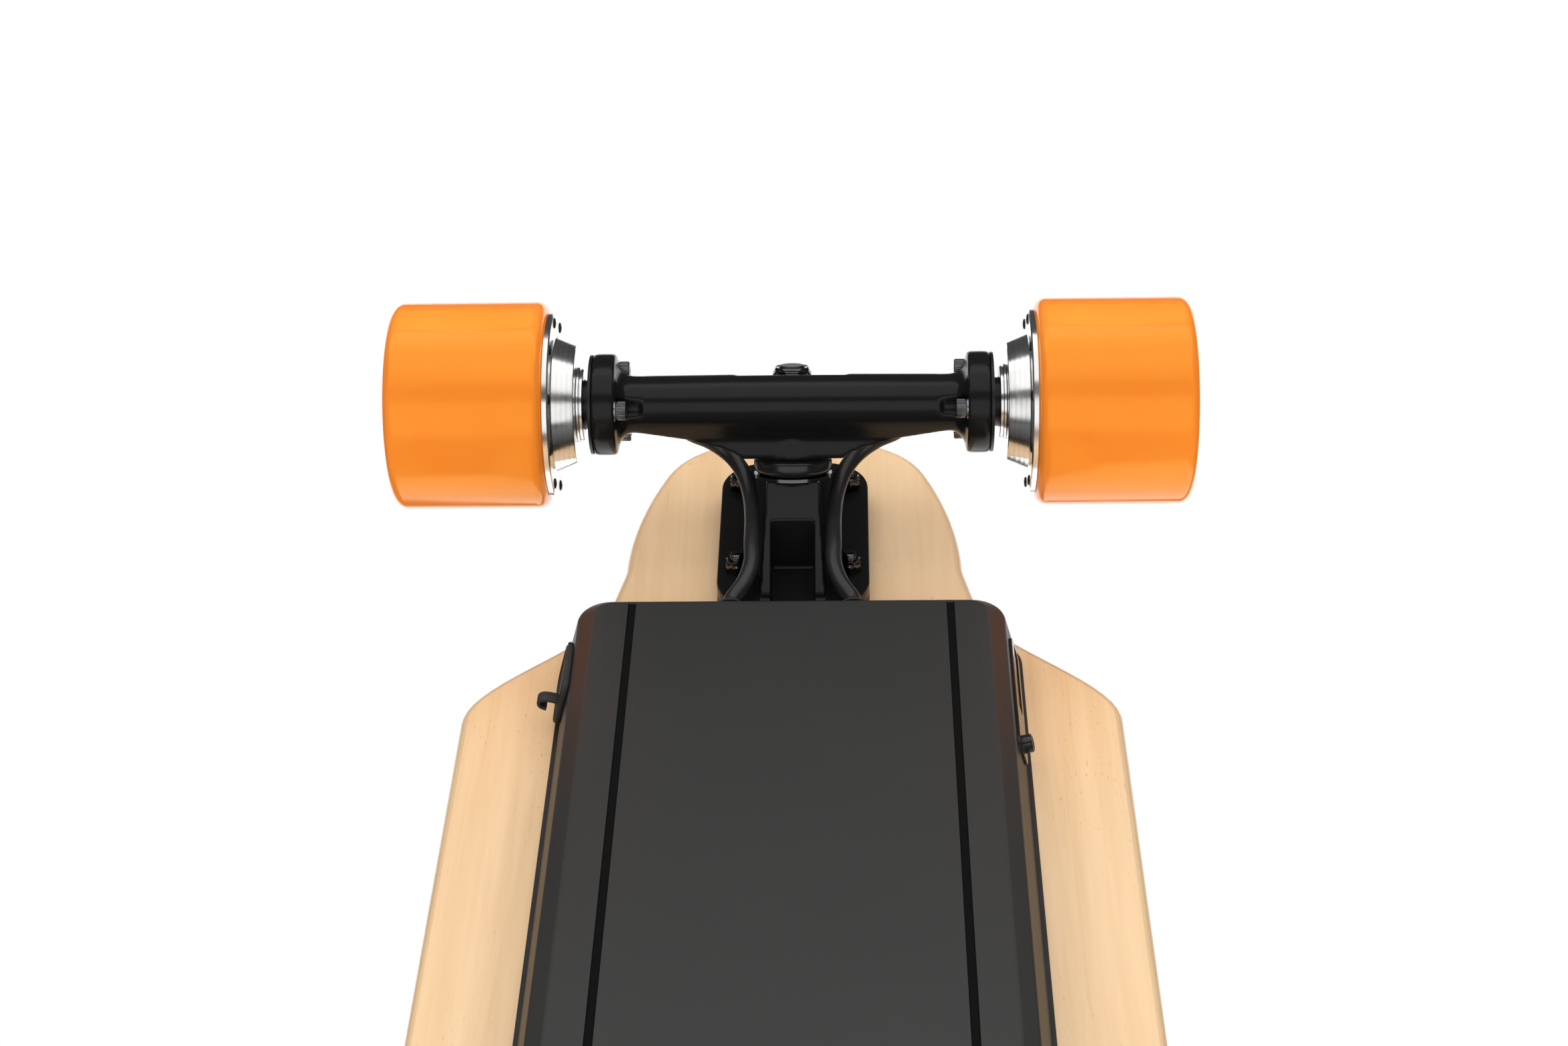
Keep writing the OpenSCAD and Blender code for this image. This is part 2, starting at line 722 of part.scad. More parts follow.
module stator_windings() {
    color("#b5622b") at_rear() on_both_axles(0) for (i = [0 : teeth - 1]) rotate([0, 0, 360 / teeth * i])
        difference() {
            translate([14.4, -4, stator_in - 3]) cube([7.6, 8, stator_out - stator_in + 6]);
            translate([12, -2.03, stator_in - 0.03]) cube([12, 4.06, stator_out - stator_in + 0.06]);
            for (s = [-1, 1]) rotate([0, 0, s * 15]) translate([12, -0.3, 80]) cube([12, 0.6, 70]);
        }
}

module front_hanger() {
    color("#1c1c1e") at_front() difference() {
        union() {
            yoke_and_nose();
            on_both_axles(0) rotate_extrude() polygon([
                [0, 0], [10.8, 0], [beam_r, 57], [10, 74], [9, 90], [8.4, 91], [0, 91]
            ]);
        }
        stack_room();
        for (side = [LEFT, RIGHT]) on_axle(side, 0) translate([0, 0, 24]) cylinder(r = 4.01, h = 70);
    }
}

front_bearing_in = tyre_in + 5;
front_bearing_out = tyre_out - 14;
module front_axle() {
    color("#a0a0a4") at_front() on_both_axles(0) translate([0, 0, 24.1])
        cylinder(r = 4, h = tyre_out - 24.1 - 1);
}

module axle_nuts() {
    color("#b8b8bc") at_front() on_both_axles(0) {
        ring(5.6, 4.02, 91.1, front_bearing_in - 0.1);
        ring(5.6, 4.02, front_bearing_out + 7.1, front_bearing_out + 8);
        difference() {
            translate([0, 0, front_bearing_out + 8]) cylinder(r = 13 / 2 / cos(30), h = 5, $fn = 6);
            translate([0, 0, front_bearing_out]) cylinder(r = 4.02, h = 20);
        }
    }
}

// ---------- wheels ----------

module tyre(side, y) {
    edge_r = 4;
    color("#ff962d") on_axle(side, y) rotate_extrude() polygon([
        [can_r + 0.01, tyre_in], [axle_z - edge_r, tyre_in],
        for (q = [15 : 15 : 75]) [axle_z - edge_r * (1 - sin(q)), tyre_in + edge_r * (1 - cos(q))],
        [axle_z, tyre_in + edge_r], [axle_z, tyre_out - edge_r],
        for (q = [75 : -15 : 15]) [axle_z - edge_r * (1 - sin(q)), tyre_out - edge_r * (1 - cos(q))],
        [axle_z - edge_r, tyre_out], [can_r + 0.01, tyre_out]
    ]);
}

module rotor(side) {
    color("#c8c8cc") on_axle(side, -truck_y) ring(can_r, can_r - can_wall, tyre_in + 0.02, tyre_out - 1.6);
}

magnets = 14;
module magnet_ring(side) {
    color("#9a9aa0") on_axle(side, -truck_y) for (i = [0 : magnets - 1]) rotate([0, 0, 360 / magnets * i])
        translate([can_r - can_wall - 2.1, -4.5, stator_in - 2]) cube([1.7, 9, stator_out - stator_in + 4]);
}

module cover_screw_places() {
    for (i = [0 : rim_screws - 1]) rotate([0, 0, 360 / rim_screws * (i + 0.5)])
        translate([rim_screw_circle, 0, 0]) children();
}

module inner_cover(side) {
    color("#e4e4e6") on_axle(side, -truck_y) difference() {
        rotate_extrude() polygon([
            [9.3, step_face], [13.2, step_face], [13.2, step_face + 1.1], [13.8, step_face + 1.1],
            [13.8, cone_face], [21.5, cone_face], [24.8, cover_face], [cover_disc_r - 0.4, cover_face],
            [cover_disc_r, cover_face + 0.4], [cover_disc_r, tyre_in - 0.02], [can_r - can_wall - 0.02, tyre_in - 0.02],
            [can_r - can_wall - 0.02, tyre_in + 3], [bearing_r + 4, tyre_in + 3], [bearing_r + 0.02, tyre_in],
            [bearing_r + 0.02, tyre_in - bearing_w], [9.3, tyre_in - bearing_w]
        ]);
        cover_screw_places() translate([0, 0, cover_face - 1]) cylinder(r = 1.3, h = 6, $fn = 24);
    }
}

module outer_cap(side) {
    color("#303034") on_axle(side, -truck_y) rotate_extrude() polygon([
        [0, tyre_out - 4], [bearing_r + 0.02, tyre_out - 4], [bearing_r + 0.02, tyre_out - 6 - bearing_w],
        [bearing_r + 3, tyre_out - 6 - bearing_w], [bearing_r + 5, tyre_out - 6], [can_r - can_wall - 0.02, tyre_out - 6],
        [can_r - can_wall - 0.02, tyre_out - 1.6], [24, tyre_out - 1.6], [22, tyre_out - 2.6], [0, tyre_out - 2.6]
    ]);
}

module motor_bearings(side) {
    color("silver") on_axle(side, -truck_y) {
        ring(bearing_r, shaft_r + 0.04, tyre_in - bearing_w, tyre_in);
        ring(bearing_r, shaft_r + 0.04, tyre_out - 6 - bearing_w, tyre_out - 6);
    }
}

module cover_screws(side) {
    color("#5a5a5e") on_axle(side, -truck_y) cover_screw_places() {
        translate([0, 0, cover_face - 0.7]) cylinder(r = 2, h = 0.7, $fn = 24);
        translate([0, 0, cover_face]) cylinder(r = 1.25, h = cover_disc_t - 0.1, $fn = 24);
    }
}

module front_hub(side) {
    color("#2c2c30") on_axle(side, truck_y) rotate_extrude() polygon([
        [11.02, front_bearing_in], [13.5, front_bearing_in - 1], [16, tyre_in + 8], [24, tyre_in + 8],
        [can_r - 2, tyre_in + 1.5], [can_r, tyre_in + 1.5], [can_r, tyre_out - 1.5], [can_r - 2, tyre_out - 1.5],
        [24, tyre_out - 10], [16, tyre_out - 10], [13.5, front_bearing_out + 8], [11.02, front_bearing_out + 7],
        [11.02, front_bearing_out], [8, front_bearing_out], [8, front_bearing_in + 7], [11.02, front_bearing_in + 7]
    ]);
}

module front_bearings(side) {
    color("silver") on_axle(side, truck_y) {
        ring(11, 4.05, front_bearing_in, front_bearing_in + 7);
        ring(11, 4.05, front_bearing_out, front_bearing_out + 7);
        ring(5.5, 4.05, front_bearing_in + 7, front_bearing_out);
    }
}

deck();
grip_tape();
enclosure();
gasket();
enclosure_screws();
battery_cells();
cell_holders();
nickel_strips();
battery_board();
motor_controller();
heat_spreader();
radio_receiver();
battery_leads();
charge_socket();
port_cover();
switch_housing();
power_button();
cable_glands();
motor_cables();
risers();
rear_baseplate();
front_baseplate();
deck_bolts();
deck_nuts();
kingpins();
kingpin_nuts();
cup_washers();
pivot_cups();
rear_bushings();
front_bushings();
rear_hanger();
motor_axles();
stator_cores();
stator_windings();
flange_screws();
front_hanger();
front_axle();
axle_nuts();
tyre(LEFT, -truck_y);  // rear_left_tyre
rotor(LEFT);  // rear_left_rotor
magnet_ring(LEFT);  // rear_left_magnets
inner_cover(LEFT);  // rear_left_inner_cover
outer_cap(LEFT);  // rear_left_outer_cap
motor_bearings(LEFT);  // rear_left_bearings
cover_screws(LEFT);  // rear_left_cover_screws
tyre(RIGHT, -truck_y);  // rear_right_tyre
rotor(RIGHT);  // rear_right_rotor
magnet_ring(RIGHT);  // rear_right_magnets
inner_cover(RIGHT);  // rear_right_inner_cover
outer_cap(RIGHT);  // rear_right_outer_cap
motor_bearings(RIGHT);  // rear_right_bearings
cover_screws(RIGHT);  // rear_right_cover_screws
tyre(LEFT, truck_y);  // front_left_tyre
front_hub(LEFT);  // front_left_hub
front_bearings(LEFT);  // front_left_bearings
tyre(RIGHT, truck_y);  // front_right_tyre
front_hub(RIGHT);  // front_right_hub
front_bearings(RIGHT);  // front_right_bearings
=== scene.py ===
"""Looks of the electric skateboard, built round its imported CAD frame. All lengths are in metres."""

import json
import math

import bmesh
import bpy
from mathutils import Matrix, Quaternion, Vector


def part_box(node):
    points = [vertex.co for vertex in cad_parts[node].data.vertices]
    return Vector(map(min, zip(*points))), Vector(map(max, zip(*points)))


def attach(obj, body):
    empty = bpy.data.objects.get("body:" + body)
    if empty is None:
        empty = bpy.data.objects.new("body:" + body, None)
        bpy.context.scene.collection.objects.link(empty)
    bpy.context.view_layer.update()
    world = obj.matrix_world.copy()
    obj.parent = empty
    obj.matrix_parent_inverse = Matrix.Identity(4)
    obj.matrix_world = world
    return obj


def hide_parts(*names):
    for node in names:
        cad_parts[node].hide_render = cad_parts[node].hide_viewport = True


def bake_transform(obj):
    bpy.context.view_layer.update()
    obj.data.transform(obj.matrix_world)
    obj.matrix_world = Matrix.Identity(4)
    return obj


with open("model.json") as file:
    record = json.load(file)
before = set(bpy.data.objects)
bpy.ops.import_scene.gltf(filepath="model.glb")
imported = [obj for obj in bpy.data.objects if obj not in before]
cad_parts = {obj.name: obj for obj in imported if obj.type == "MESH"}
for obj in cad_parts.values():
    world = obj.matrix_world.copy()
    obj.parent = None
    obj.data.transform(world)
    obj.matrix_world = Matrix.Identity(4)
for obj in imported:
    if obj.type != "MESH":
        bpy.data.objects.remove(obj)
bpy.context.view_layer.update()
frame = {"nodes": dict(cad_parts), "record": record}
nodes = frame["nodes"]

MM = 0.001
REAR, FRONT = -1, 1
LEFT, RIGHT = -1, 1

# Places read from the frame
deck_low, deck_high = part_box("deck")
tyre_low, tyre_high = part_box("rear_right_tyre")
DECK_Z = deck_low.z
DECK_TOP = deck_high.z
AXLE_Z = (tyre_low.z + tyre_high.z) / 2
TRUCK_Y = -(tyre_low.y + tyre_high.y) / 2
TYRE_R = tyre_high.z - AXLE_Z
TYRE_IN = tyre_low.x
TYRE_OUT = tyre_high.x

# Truck sizes shared with the part's source. STACK is [towards the middle, below the deck].
KINGPIN_LEAN = math.radians(22)
STACK = (-3 * MM, 36.2 * MM)
RING_T = 7.5 * MM
WASHER_T = 1.2 * MM
YOKE_T = 8 * MM
UPPER_T = 15.2 * MM
UPPER_R = 12.5 * MM
BUSHING_R = 14.5 * MM
KINGPIN_R = 4.75 * MM
YOKE_AT = RING_T / 2
UPPER_AT = YOKE_AT + YOKE_T
NUT_AT = UPPER_AT + UPPER_T + WASHER_T
PLATE_TOP = 9 * MM
BOLT_DX = 41.3 * MM
BOLT_DY = 54 * MM
BOLT_R = 2.5 * MM
BOLT_END = 16.5 * MM
CABLE_R = 3 * MM

# Wheel stations, measured outwards from the middle of the board
COVER_FACE = TYRE_IN - 2.5 * MM
CONE_FACE = TYRE_IN - 10.3 * MM
STEP_FACE = TYRE_IN - 12.7 * MM
CAN_R = 30 * MM
COVER_R = 33.6 * MM
COVER_SCREW_RING = 30.5 * MM
COVER_SCREWS = 10
FLANGE_SCREW_RING = 13 * MM


# ---------- shapes: each is (points, faces) in the row frame ----------

def joined(*shapes):
    """One shape holding all the given ones."""
    points, faces = [], []
    for p, f in shapes:
        start = len(points)
        points += p
        faces += [tuple(i + start for i in face) for face in f]
    return points, faces


def across(axis):
    """Two unit vectors square to the axis and to each other."""
    u = Vector((0, 1, 0)) if abs(axis.x) > 0.9 else Vector((1, 0, 0))
    u = (u - axis * u.dot(axis)).normalized()
    return u, axis.cross(u)


def revolve(profile, origin, axis, steps=96, closed=False):
    """Turns a list of (radius, height) round an axis. A radius may be a function of the angle."""
    axis = Vector(axis).normalized()
    u, v = across(axis)
    points, rings = [], []
    for radius, height in profile:
        base = Vector(origin) + axis * height
        if not callable(radius) and radius < 1e-7:
            rings.append([len(points)] * steps)
            points.append(base)
            continue
        rings.append(list(range(len(points), len(points) + steps)))
        for k in range(steps):
            q = 2 * math.pi * k / steps
            r = radius(q) if callable(radius) else radius
            points.append(base + (u * math.cos(q) + v * math.sin(q)) * r)
    pairs = list(zip(rings, rings[1:]))
    if closed:
        pairs.append((rings[-1], rings[0]))
    faces = []
    for low, high in pairs:
        for k in range(steps):
            face = (low[k], low[(k + 1) % steps], high[(k + 1) % steps], high[k])
            face = tuple(dict.fromkeys(face))
            if len(face) > 2:
                faces.append(face)
    return points, faces


def loft(rings, capped=True):
    """Skin over rings of equally many points, with a flat cap on each end."""
    size = len(rings[0])
    points = [p for ring in rings for p in ring]
    faces = []
    for j in range(len(rings) - 1):
        for k in range(size):
            n = (k + 1) % size
            faces.append((j * size + k, j * size + n, (j + 1) * size + n, (j + 1) * size + k))
    if capped:
        last = (len(rings) - 1) * size
        faces.append(tuple(reversed(range(size))))
        faces.append(tuple(range(last, last + size)))
    return points, faces


def smooth_path(points, per=8):
    """A Catmull-Rom curve through given points."""
    ends = [points[0] * 2 - points[1], *points, points[-1] * 2 - points[-2]]
    path = []
    for a, b, c, d in zip(ends, ends[1:], ends[2:], ends[3:]):
        for i in range(per):
            t = i / per
            path.append(0.5 * (2 * b + (c - a) * t + (2 * a - 5 * b + 4 * c - d) * t * t
                               + (3 * b - a - 3 * c + d) * t ** 3))
    return path + [points[-1]]


def sweep(path, section):
    """Carries a flat section, a list of (x, y), along a path without twisting it."""
    way = (path[1] - path[0]).normalized()
    u, v = across(way)
    rings = []
    for i, place in enumerate(path):
        ahead = (path[min(i + 1, len(path) - 1)] - path[max(i - 1, 0)]).normalized()
        turn = way.rotation_difference(ahead)
        u, v, way = turn @ u, turn @ v, ahead
        rings.append([place + u * x + v * y for x, y in section])
    return loft(rings)


def circle(radius, steps=24):
    """Corner points of a regular polygon that stands for a circle."""
    turn = 2 * math.pi / steps
    return [(radius * math.cos(turn * k), radius * math.sin(turn * k)) for k in range(steps)]


def rounded_rect(x, y, r, corner=8):
    """Corner points of a rectangle of half sizes x and y, with round corners."""
    points = []
    for cx, cy, start in ((1, 1, 0), (-1, 1, 90), (-1, -1, 180), (1, -1, 270)):
        for k in range(corner + 1):
            q = math.radians(start + 90 * k / corner)
            points.append((cx * (x - r) + r * math.cos(q), cy * (y - r) + r * math.sin(q)))
    return points


def arc(cr, ch, radius, first, last, steps=6):
    """Profile points on an arc round (cr, ch), from one angle to another in degrees."""
    angles = [math.radians(first + (last - first) * k / steps) for k in range(steps + 1)]
    return [(cr + radius * math.cos(q), ch + radius * math.sin(q)) for q in angles]


def hexagon(flats):
    """Radius of a hexagon at an angle."""
    def radius(q):
        return flats / 2 / math.cos((q + math.pi / 6) % (math.pi / 3) - math.pi / 6)
    return radius


def capped_hexagon(flats, limit):
    """A hexagon whose corners are turned down to a circle, as a nut's chamfer does."""
    side = hexagon(flats)
    return lambda q: min(side(q), limit)


def knurled(radius, depth, ridges):
    """Radius of a knurled head at an angle."""
    return lambda q: radius - depth * abs(math.sin(ridges * q / 2))


def thread(radius, pitch, depth, low, high, origin, axis, steps=28):
    """A real helical thread between two heights, with a chamfered tip."""
    rows = max(2, round((high - low) / pitch * 6))
    profile = []
    for j in range(rows + 1):
        height = low + (high - low) * j / rows
        tip = max(0.0, 1 - (high - height) / pitch)

        def ridge(q, turn=height / pitch, drop=tip * depth * 0.9):
            saw = abs((turn - q / (2 * math.pi)) % 1 - 0.5) * 2
            return radius - depth * saw - drop
        profile.append((ridge, height))
    return revolve([(0, low), *profile, (0, high)], origin, axis, steps)


# ---------- pieces ----------

def new_object(name, shape, material, origin=(0, 0, 0), sharp=35):
    """An object from a shape, with its origin where its texture is centred."""
    origin = Vector(origin)
    mesh = bpy.data.meshes.new(name)
    mesh.from_pydata([Vector(p) - origin for p in shape[0]], [], shape[1])
    edit = bmesh.new()
    edit.from_mesh(mesh)
    bmesh.ops.remove_doubles(edit, verts=edit.verts, dist=1e-6)
    bmesh.ops.recalc_face_normals(edit, faces=edit.faces)
    edit.to_mesh(mesh)
    edit.free()
    mesh.shade_smooth()
    mesh.set_sharp_from_angle(angle=math.radians(sharp))
    mesh.materials.append(material)
    obj = bpy.data.objects.new(name, mesh)
    obj.location = origin
    bpy.context.scene.collection.objects.link(obj)
    return obj


def bake_modifiers(obj, sharp=35):
    """Applies all modifiers of an object to its mesh."""
    graph = bpy.context.evaluated_depsgraph_get()
    mesh = bpy.data.meshes.new_from_object(obj.evaluated_get(graph))
    obj.modifiers.clear()
    obj.data = mesh
    mesh.shade_smooth()
    mesh.set_sharp_from_angle(angle=math.radians(sharp))


def soften(obj, voxel, rounds):
    """Turns hard joins and corners into the fillets of a casting."""
    remesh = obj.modifiers.new("remesh", "REMESH")
    remesh.mode = "VOXEL"
    remesh.voxel_size = voxel
    smooth = obj.modifiers.new("smooth", "SMOOTH")
    smooth.factor = 0.5
    smooth.iterations = rounds
    bake_modifiers(obj, 180)


def cut(obj, shape, sharp=30):
    """Takes a shape away from an object."""
    cutter = new_object("cutter", shape, obj.data.materials[0])
    tool = obj.modifiers.new("cut", "BOOLEAN")
    tool.operation = "DIFFERENCE"
    tool.solver = "EXACT"
    tool.object = cutter
    bake_modifiers(obj, sharp)
    bpy.data.objects.remove(cutter)


def cad_shape(name):
    """The shape of a CAD node, to build a finer piece on."""
    mesh = nodes[name].data
    return [v.co.copy() for v in mesh.vertices], [tuple(f.vertices) for f in mesh.polygons]


def place(obj, body, slot, *stood_for):
    """Puts a finished piece on its body, in place of the CAD nodes it stands for."""
    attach(obj, body)
    if stood_for:
        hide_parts(*stood_for)
    return obj


# ---------- frames of the truck ----------

def on_truck(end, x, inward, below):
    """A point of a truck, from its place towards the middle and below the deck."""
    return Vector((-end * x, end * (TRUCK_Y - inward), DECK_Z - below))


def kingpin(end):
    """Foot and direction of a kingpin, leading away from the deck."""
    lean = Vector((0, end * math.sin(KINGPIN_LEAN), -math.cos(KINGPIN_LEAN)))
    return on_truck(end, 0, *STACK), lean


def truck_holes(end):
    """Where the four bolts of a truck pass the deck's underside."""
    for x in (-BOLT_DX / 2, BOLT_DX / 2):
        for inward in (-BOLT_DY / 2, BOLT_DY / 2):
            yield on_truck(end, x, inward, 0)


def wheel_centre(end):
    """The middle of an axle."""
    return Vector((0, end * TRUCK_Y, AXLE_Z))


# Enclosure: its depth, half width and half length, how far its side walls lean in over
# their drop (both in millimetres), and how far below the deck their middle is
TRAY_H = 24 * MM
TRAY_X = 80 * MM
TRAY_Y = 330 * MM
WALL_INSET = 5.3
WALL_DROP = 20
WALL_TILT = math.atan2(WALL_INSET, WALL_DROP)
WALL_X = TRAY_X - WALL_INSET * MM / 2
WALL_BELOW = 11.5 * MM


def on_wall(side, y, down, along, out):
    """A point on a side wall of the enclosure."""
    x = WALL_X - down * math.sin(WALL_TILT) + out * math.cos(WALL_TILT)
    z = DECK_Z - WALL_BELOW - down * math.cos(WALL_TILT) - out * math.sin(WALL_TILT)
    return Vector((side * x, y + along, z))


def wall_way(side, y, down, out):
    """A direction at a side wall of the enclosure: down it or out of it."""
    return (on_wall(side, y, down, 0, out) - on_wall(side, y, 0, 0, 0)).normalized()


def plug(radius, low, high):
    """Profile of a plain cylinder, for cutting a round hole."""
    return [(0, low), (radius, low), (radius, high), (0, high)]


# ---------- materials ----------

class Finish:
    """A Principled material and the few nodes that every finish here is made of."""

    def __init__(self, name, colour, roughness, **sockets):
        self.material = bpy.data.materials.new(name)
        self.material.use_nodes = True
        self.tree = self.material.node_tree
        self.shader = self.tree.nodes["Principled BSDF"]
        self.shader.inputs["Base Color"].default_value = (*colour, 1)
        self.shader.inputs["Roughness"].default_value = roughness
        for socket, value in sockets.items():
            self.shader.inputs[socket.replace("_", " ")].default_value = value
        self.place = self.tree.nodes.new("ShaderNodeTexCoord").outputs["Object"]

    def link(self, source, target):
        """Joins an output to an input."""
        self.tree.links.new(source, target)

    def stretched(self, scale):
        """The object's own coordinates, scaled along each axis."""
        node = self.tree.nodes.new("ShaderNodeMapping")
        node.inputs["Scale"].default_value = scale
        self.link(self.place, node.inputs["Vector"])
        return node.outputs["Vector"]

    def noise(self, scale, detail=3, stretch=None, roughness=0.55, warp=0):
        """Cloudy values between 0 and 1."""
        node = self.tree.nodes.new("ShaderNodeTexNoise")
        node.inputs["Scale"].default_value = scale
        node.inputs["Detail"].default_value = detail
        node.inputs["Roughness"].default_value = roughness
        node.inputs["Distortion"].default_value = warp
        self.link(self.stretched(stretch) if stretch else self.place, node.inputs["Vector"])
        return node.outputs["Fac"]

    def rings(self, scale, warp=0):
        """Rings round the X axis."""
        node = self.tree.nodes.new("ShaderNodeTexWave")
        node.wave_type = "RINGS"
        node.rings_direction = "X"
        node.inputs["Scale"].default_value = scale
        node.inputs["Distortion"].default_value = warp
        self.link(self.place, node.inputs["Vector"])
        return node.outputs["Fac"]

    def ramp(self, source, *stops):
        """Colours or greys at positions along a 0 to 1 value."""
        node = self.tree.nodes.new("ShaderNodeValToRGB")
        band = node.color_ramp
        while len(band.elements) < len(stops):
            band.elements.new(0.5)
        for element, (position, colour) in zip(band.elements, stops):
            element.position = position
            element.color = (*colour, 1) if isinstance(colour, tuple) else (colour, colour, colour, 1)
        self.link(source, node.inputs["Fac"])
        return node.outputs["Color"]

    def mix(self, factor, first, second, how="MIX"):
        """Two colours mixed. Inputs 0, 6 and 7 are the factor and the two colours."""
        node = self.tree.nodes.new("ShaderNodeMix")
        node.data_type = "RGBA"
        node.blend_type = how
        for value, socket in ((factor, 0), (first, 6), (second, 7)):
            if hasattr(value, "links"):
                self.link(value, node.inputs[socket])
            else:
                node.inputs[socket].default_value = value if socket == 0 else (*value, 1)
        return node.outputs[2]

    def math(self, how, first, second=0.0):
        """One sum on values or outputs."""
        node = self.tree.nodes.new("ShaderNodeMath")
        node.operation = how
        for value, socket in ((first, node.inputs[0]), (second, node.inputs[1])):
            if hasattr(value, "links"):
                self.link(value, socket)
            else:
                socket.default_value = value
        return node.outputs[0]

    def axis(self, source, name):
        """One component of a vector."""
        node = self.tree.nodes.new("ShaderNodeSeparateXYZ")
        self.link(source, node.inputs[0])
        return node.outputs[name]

    def colour(self, source):
        """Takes the base colour from an output."""
        self.link(source, self.shader.inputs["Base Color"])
        return self

    def roughness(self, source, low, high):
        """Takes the roughness from an output, between two values."""
        self.link(self.ramp(source, (0.3, low), (0.7, high)), self.shader.inputs["Roughness"])
        return self

    def bump(self, source, depth, strength=1.0):
        """Raises the surface by an output, up to a depth in metres."""
        node = self.tree.nodes.new("ShaderNodeBump")
        node.inputs["Strength"].default_value = strength
        node.inputs["Distance"].default_value = depth
        self.link(source, node.inputs["Height"])
        self.link(node.outputs["Normal"], self.shader.inputs["Normal"])
        return self


def maple_finish():
    """Lacquered maple: long grain with short dark flecks on the faces, seven plies on the edge."""
    f = Finish("maple", (0.8, 0.55, 0.29), 0.3, Coat_Weight=0.35, Coat_Roughness=0.18)
    grain = f.noise(1, 5, (260, 9, 260), 0.6, 0.4)
    face = f.ramp(grain, (0.25, (0.745, 0.51, 0.29)), (0.5, (0.79, 0.555, 0.32)),
                  (0.75, (0.83, 0.60, 0.36)))
    clouds = f.ramp(f.noise(7, 3, (1.6, 0.5, 1)), (0.3, (0.96, 0.87, 0.79)),
                    (0.5, (1.0, 0.96, 0.91)), (0.7, (1.0, 1.0, 1.0)))
    face = f.mix(0.85, face, clouds, "MULTIPLY")
    fleck = f.ramp(f.noise(1, 2, (1500, 330, 1500), 0.5), (0.66, 0.0), (0.74, 1.0))
    patch = f.ramp(f.noise(16, 2), (0.42, 0.0), (0.6, 1.0))
    face = f.mix(f.math("MULTIPLY", f.math("MULTIPLY", fleck, patch), 0.62), face, (0.44, 0.25, 0.12))
    height = f.axis(f.place, "Z")
    layer = f.math("DIVIDE", f.math("SUBTRACT", height, DECK_Z), DECK_TOP - DECK_Z)
    seven = f.math("PINGPONG", f.math("MULTIPLY", layer, 7.0), 1.0)
    edge = f.ramp(seven, (0.42, (0.60, 0.37, 0.17)), (0.58, (0.84, 0.62, 0.36)))
    streaks = f.ramp(f.noise(1, 4, (400, 60, 1500)), (0.3, 0.6), (0.7, 1.0))
    edge = f.mix(0.5, edge, streaks, "MULTIPLY")
    normal = f.tree.nodes.new("ShaderNodeNewGeometry").outputs["Normal"]
    facing = f.math("ABSOLUTE", f.axis(normal, "Z"))
    f.colour(f.mix(f.ramp(facing, (0.55, 0.0), (0.8, 1.0)), edge, face))
    return f.roughness(grain, 0.26, 0.38).bump(grain, 0.00006, 0.5).material


def grip_finish():
    """Coarse black grit with the odd bright crystal."""
    f = Finish("grip", (0.03, 0.03, 0.032), 0.9, Specular_IOR_Level=0.35)
    grit = f.noise(2600, 4)
    f.colour(f.ramp(grit, (0.35, 0.012), (0.6, 0.04), (0.72, 0.16)))
    return f.roughness(grit, 0.95, 0.7).bump(grit, 0.0006, 0.9).material


def coated_metal(name, colour, rough, grain, depth, **sockets):
    """Painted, coated or anodised metal: fine orange peel, and sheen that varies a little."""
    f = Finish(name, colour, sum(rough) / 2, **sockets)
    fine = f.noise(grain, 3)
    darker = tuple(c * 0.93 for c in colour)
    lighter = tuple(min(1, c * 1.07) for c in colour)
    f.colour(f.ramp(f.noise(12, 2), (0.3, darker), (0.7, lighter)))
    return f.roughness(fine, *rough).bump(fine, depth, 0.5).material


def bare_metal(name, colour, rough, stretch):
    """Bare or plated metal with drawn lines along one direction."""
    f = Finish(name, colour, sum(rough) / 2, Metallic=1.0)
    lines = f.noise(1, 4, stretch)
    darker = tuple(c * 0.86 for c in colour)
    f.colour(f.ramp(lines, (0.3, darker), (0.7, colour)))
    return f.roughness(lines, *rough).bump(lines, 0.00001, 0.5).material


def turned_finish():
    """Polished aluminium with the fine circles that a lathe leaves."""
    f = Finish("polished_aluminium", (0.93, 0.93, 0.92), 0.2, Metallic=1.0)
    circles = f.rings(420, 0.6)
    broad = f.rings(60, 1.5)
    smear = f.noise(90, 3)
    f.colour(f.ramp(f.mix(0.5, circles, broad), (0.2, (0.84, 0.84, 0.83)), (0.8, (0.95, 0.95, 0.94))))
    return f.roughness(smear, 0.12, 0.26).bump(circles, 0.000012, 0.5).material


def urethane_finish():
    """Glossy cast polyurethane: a deep orange that lets a little light in."""
    f = Finish("orange_urethane", (1.0, 0.25, 0.03), 0.17, Specular_IOR_Level=0.75,
               Specular_Tint=(1.0, 0.75, 0.14, 1.0), Subsurface_Weight=0.15, Subsurface_Scale=0.004)
    clouds = f.noise(28, 3)
    f.colour(f.ramp(clouds, (0.3, (1.0, 0.265, 0.026)), (0.7, (1.0, 0.285, 0.031))))
    return f.roughness(f.noise(60, 4), 0.14, 0.22).bump(f.noise(1, 3, (1800, 60, 60)), 0.00002, 0.4).material


def soft_finish(name, colour, rough, grain, depth):
    """Rubber, urethane or moulded plastic with a fine skin."""
    f = Finish(name, colour, sum(rough) / 2)
    skin = f.noise(grain, 4)
    darker = tuple(c * 0.75 for c in colour)
    lighter = tuple(c * 1.25 for c in colour)
    f.colour(f.ramp(f.noise(60, 3), (0.3, darker), (0.7, lighter)))
    return f.roughness(skin, *rough).bump(skin, depth, 0.5).material


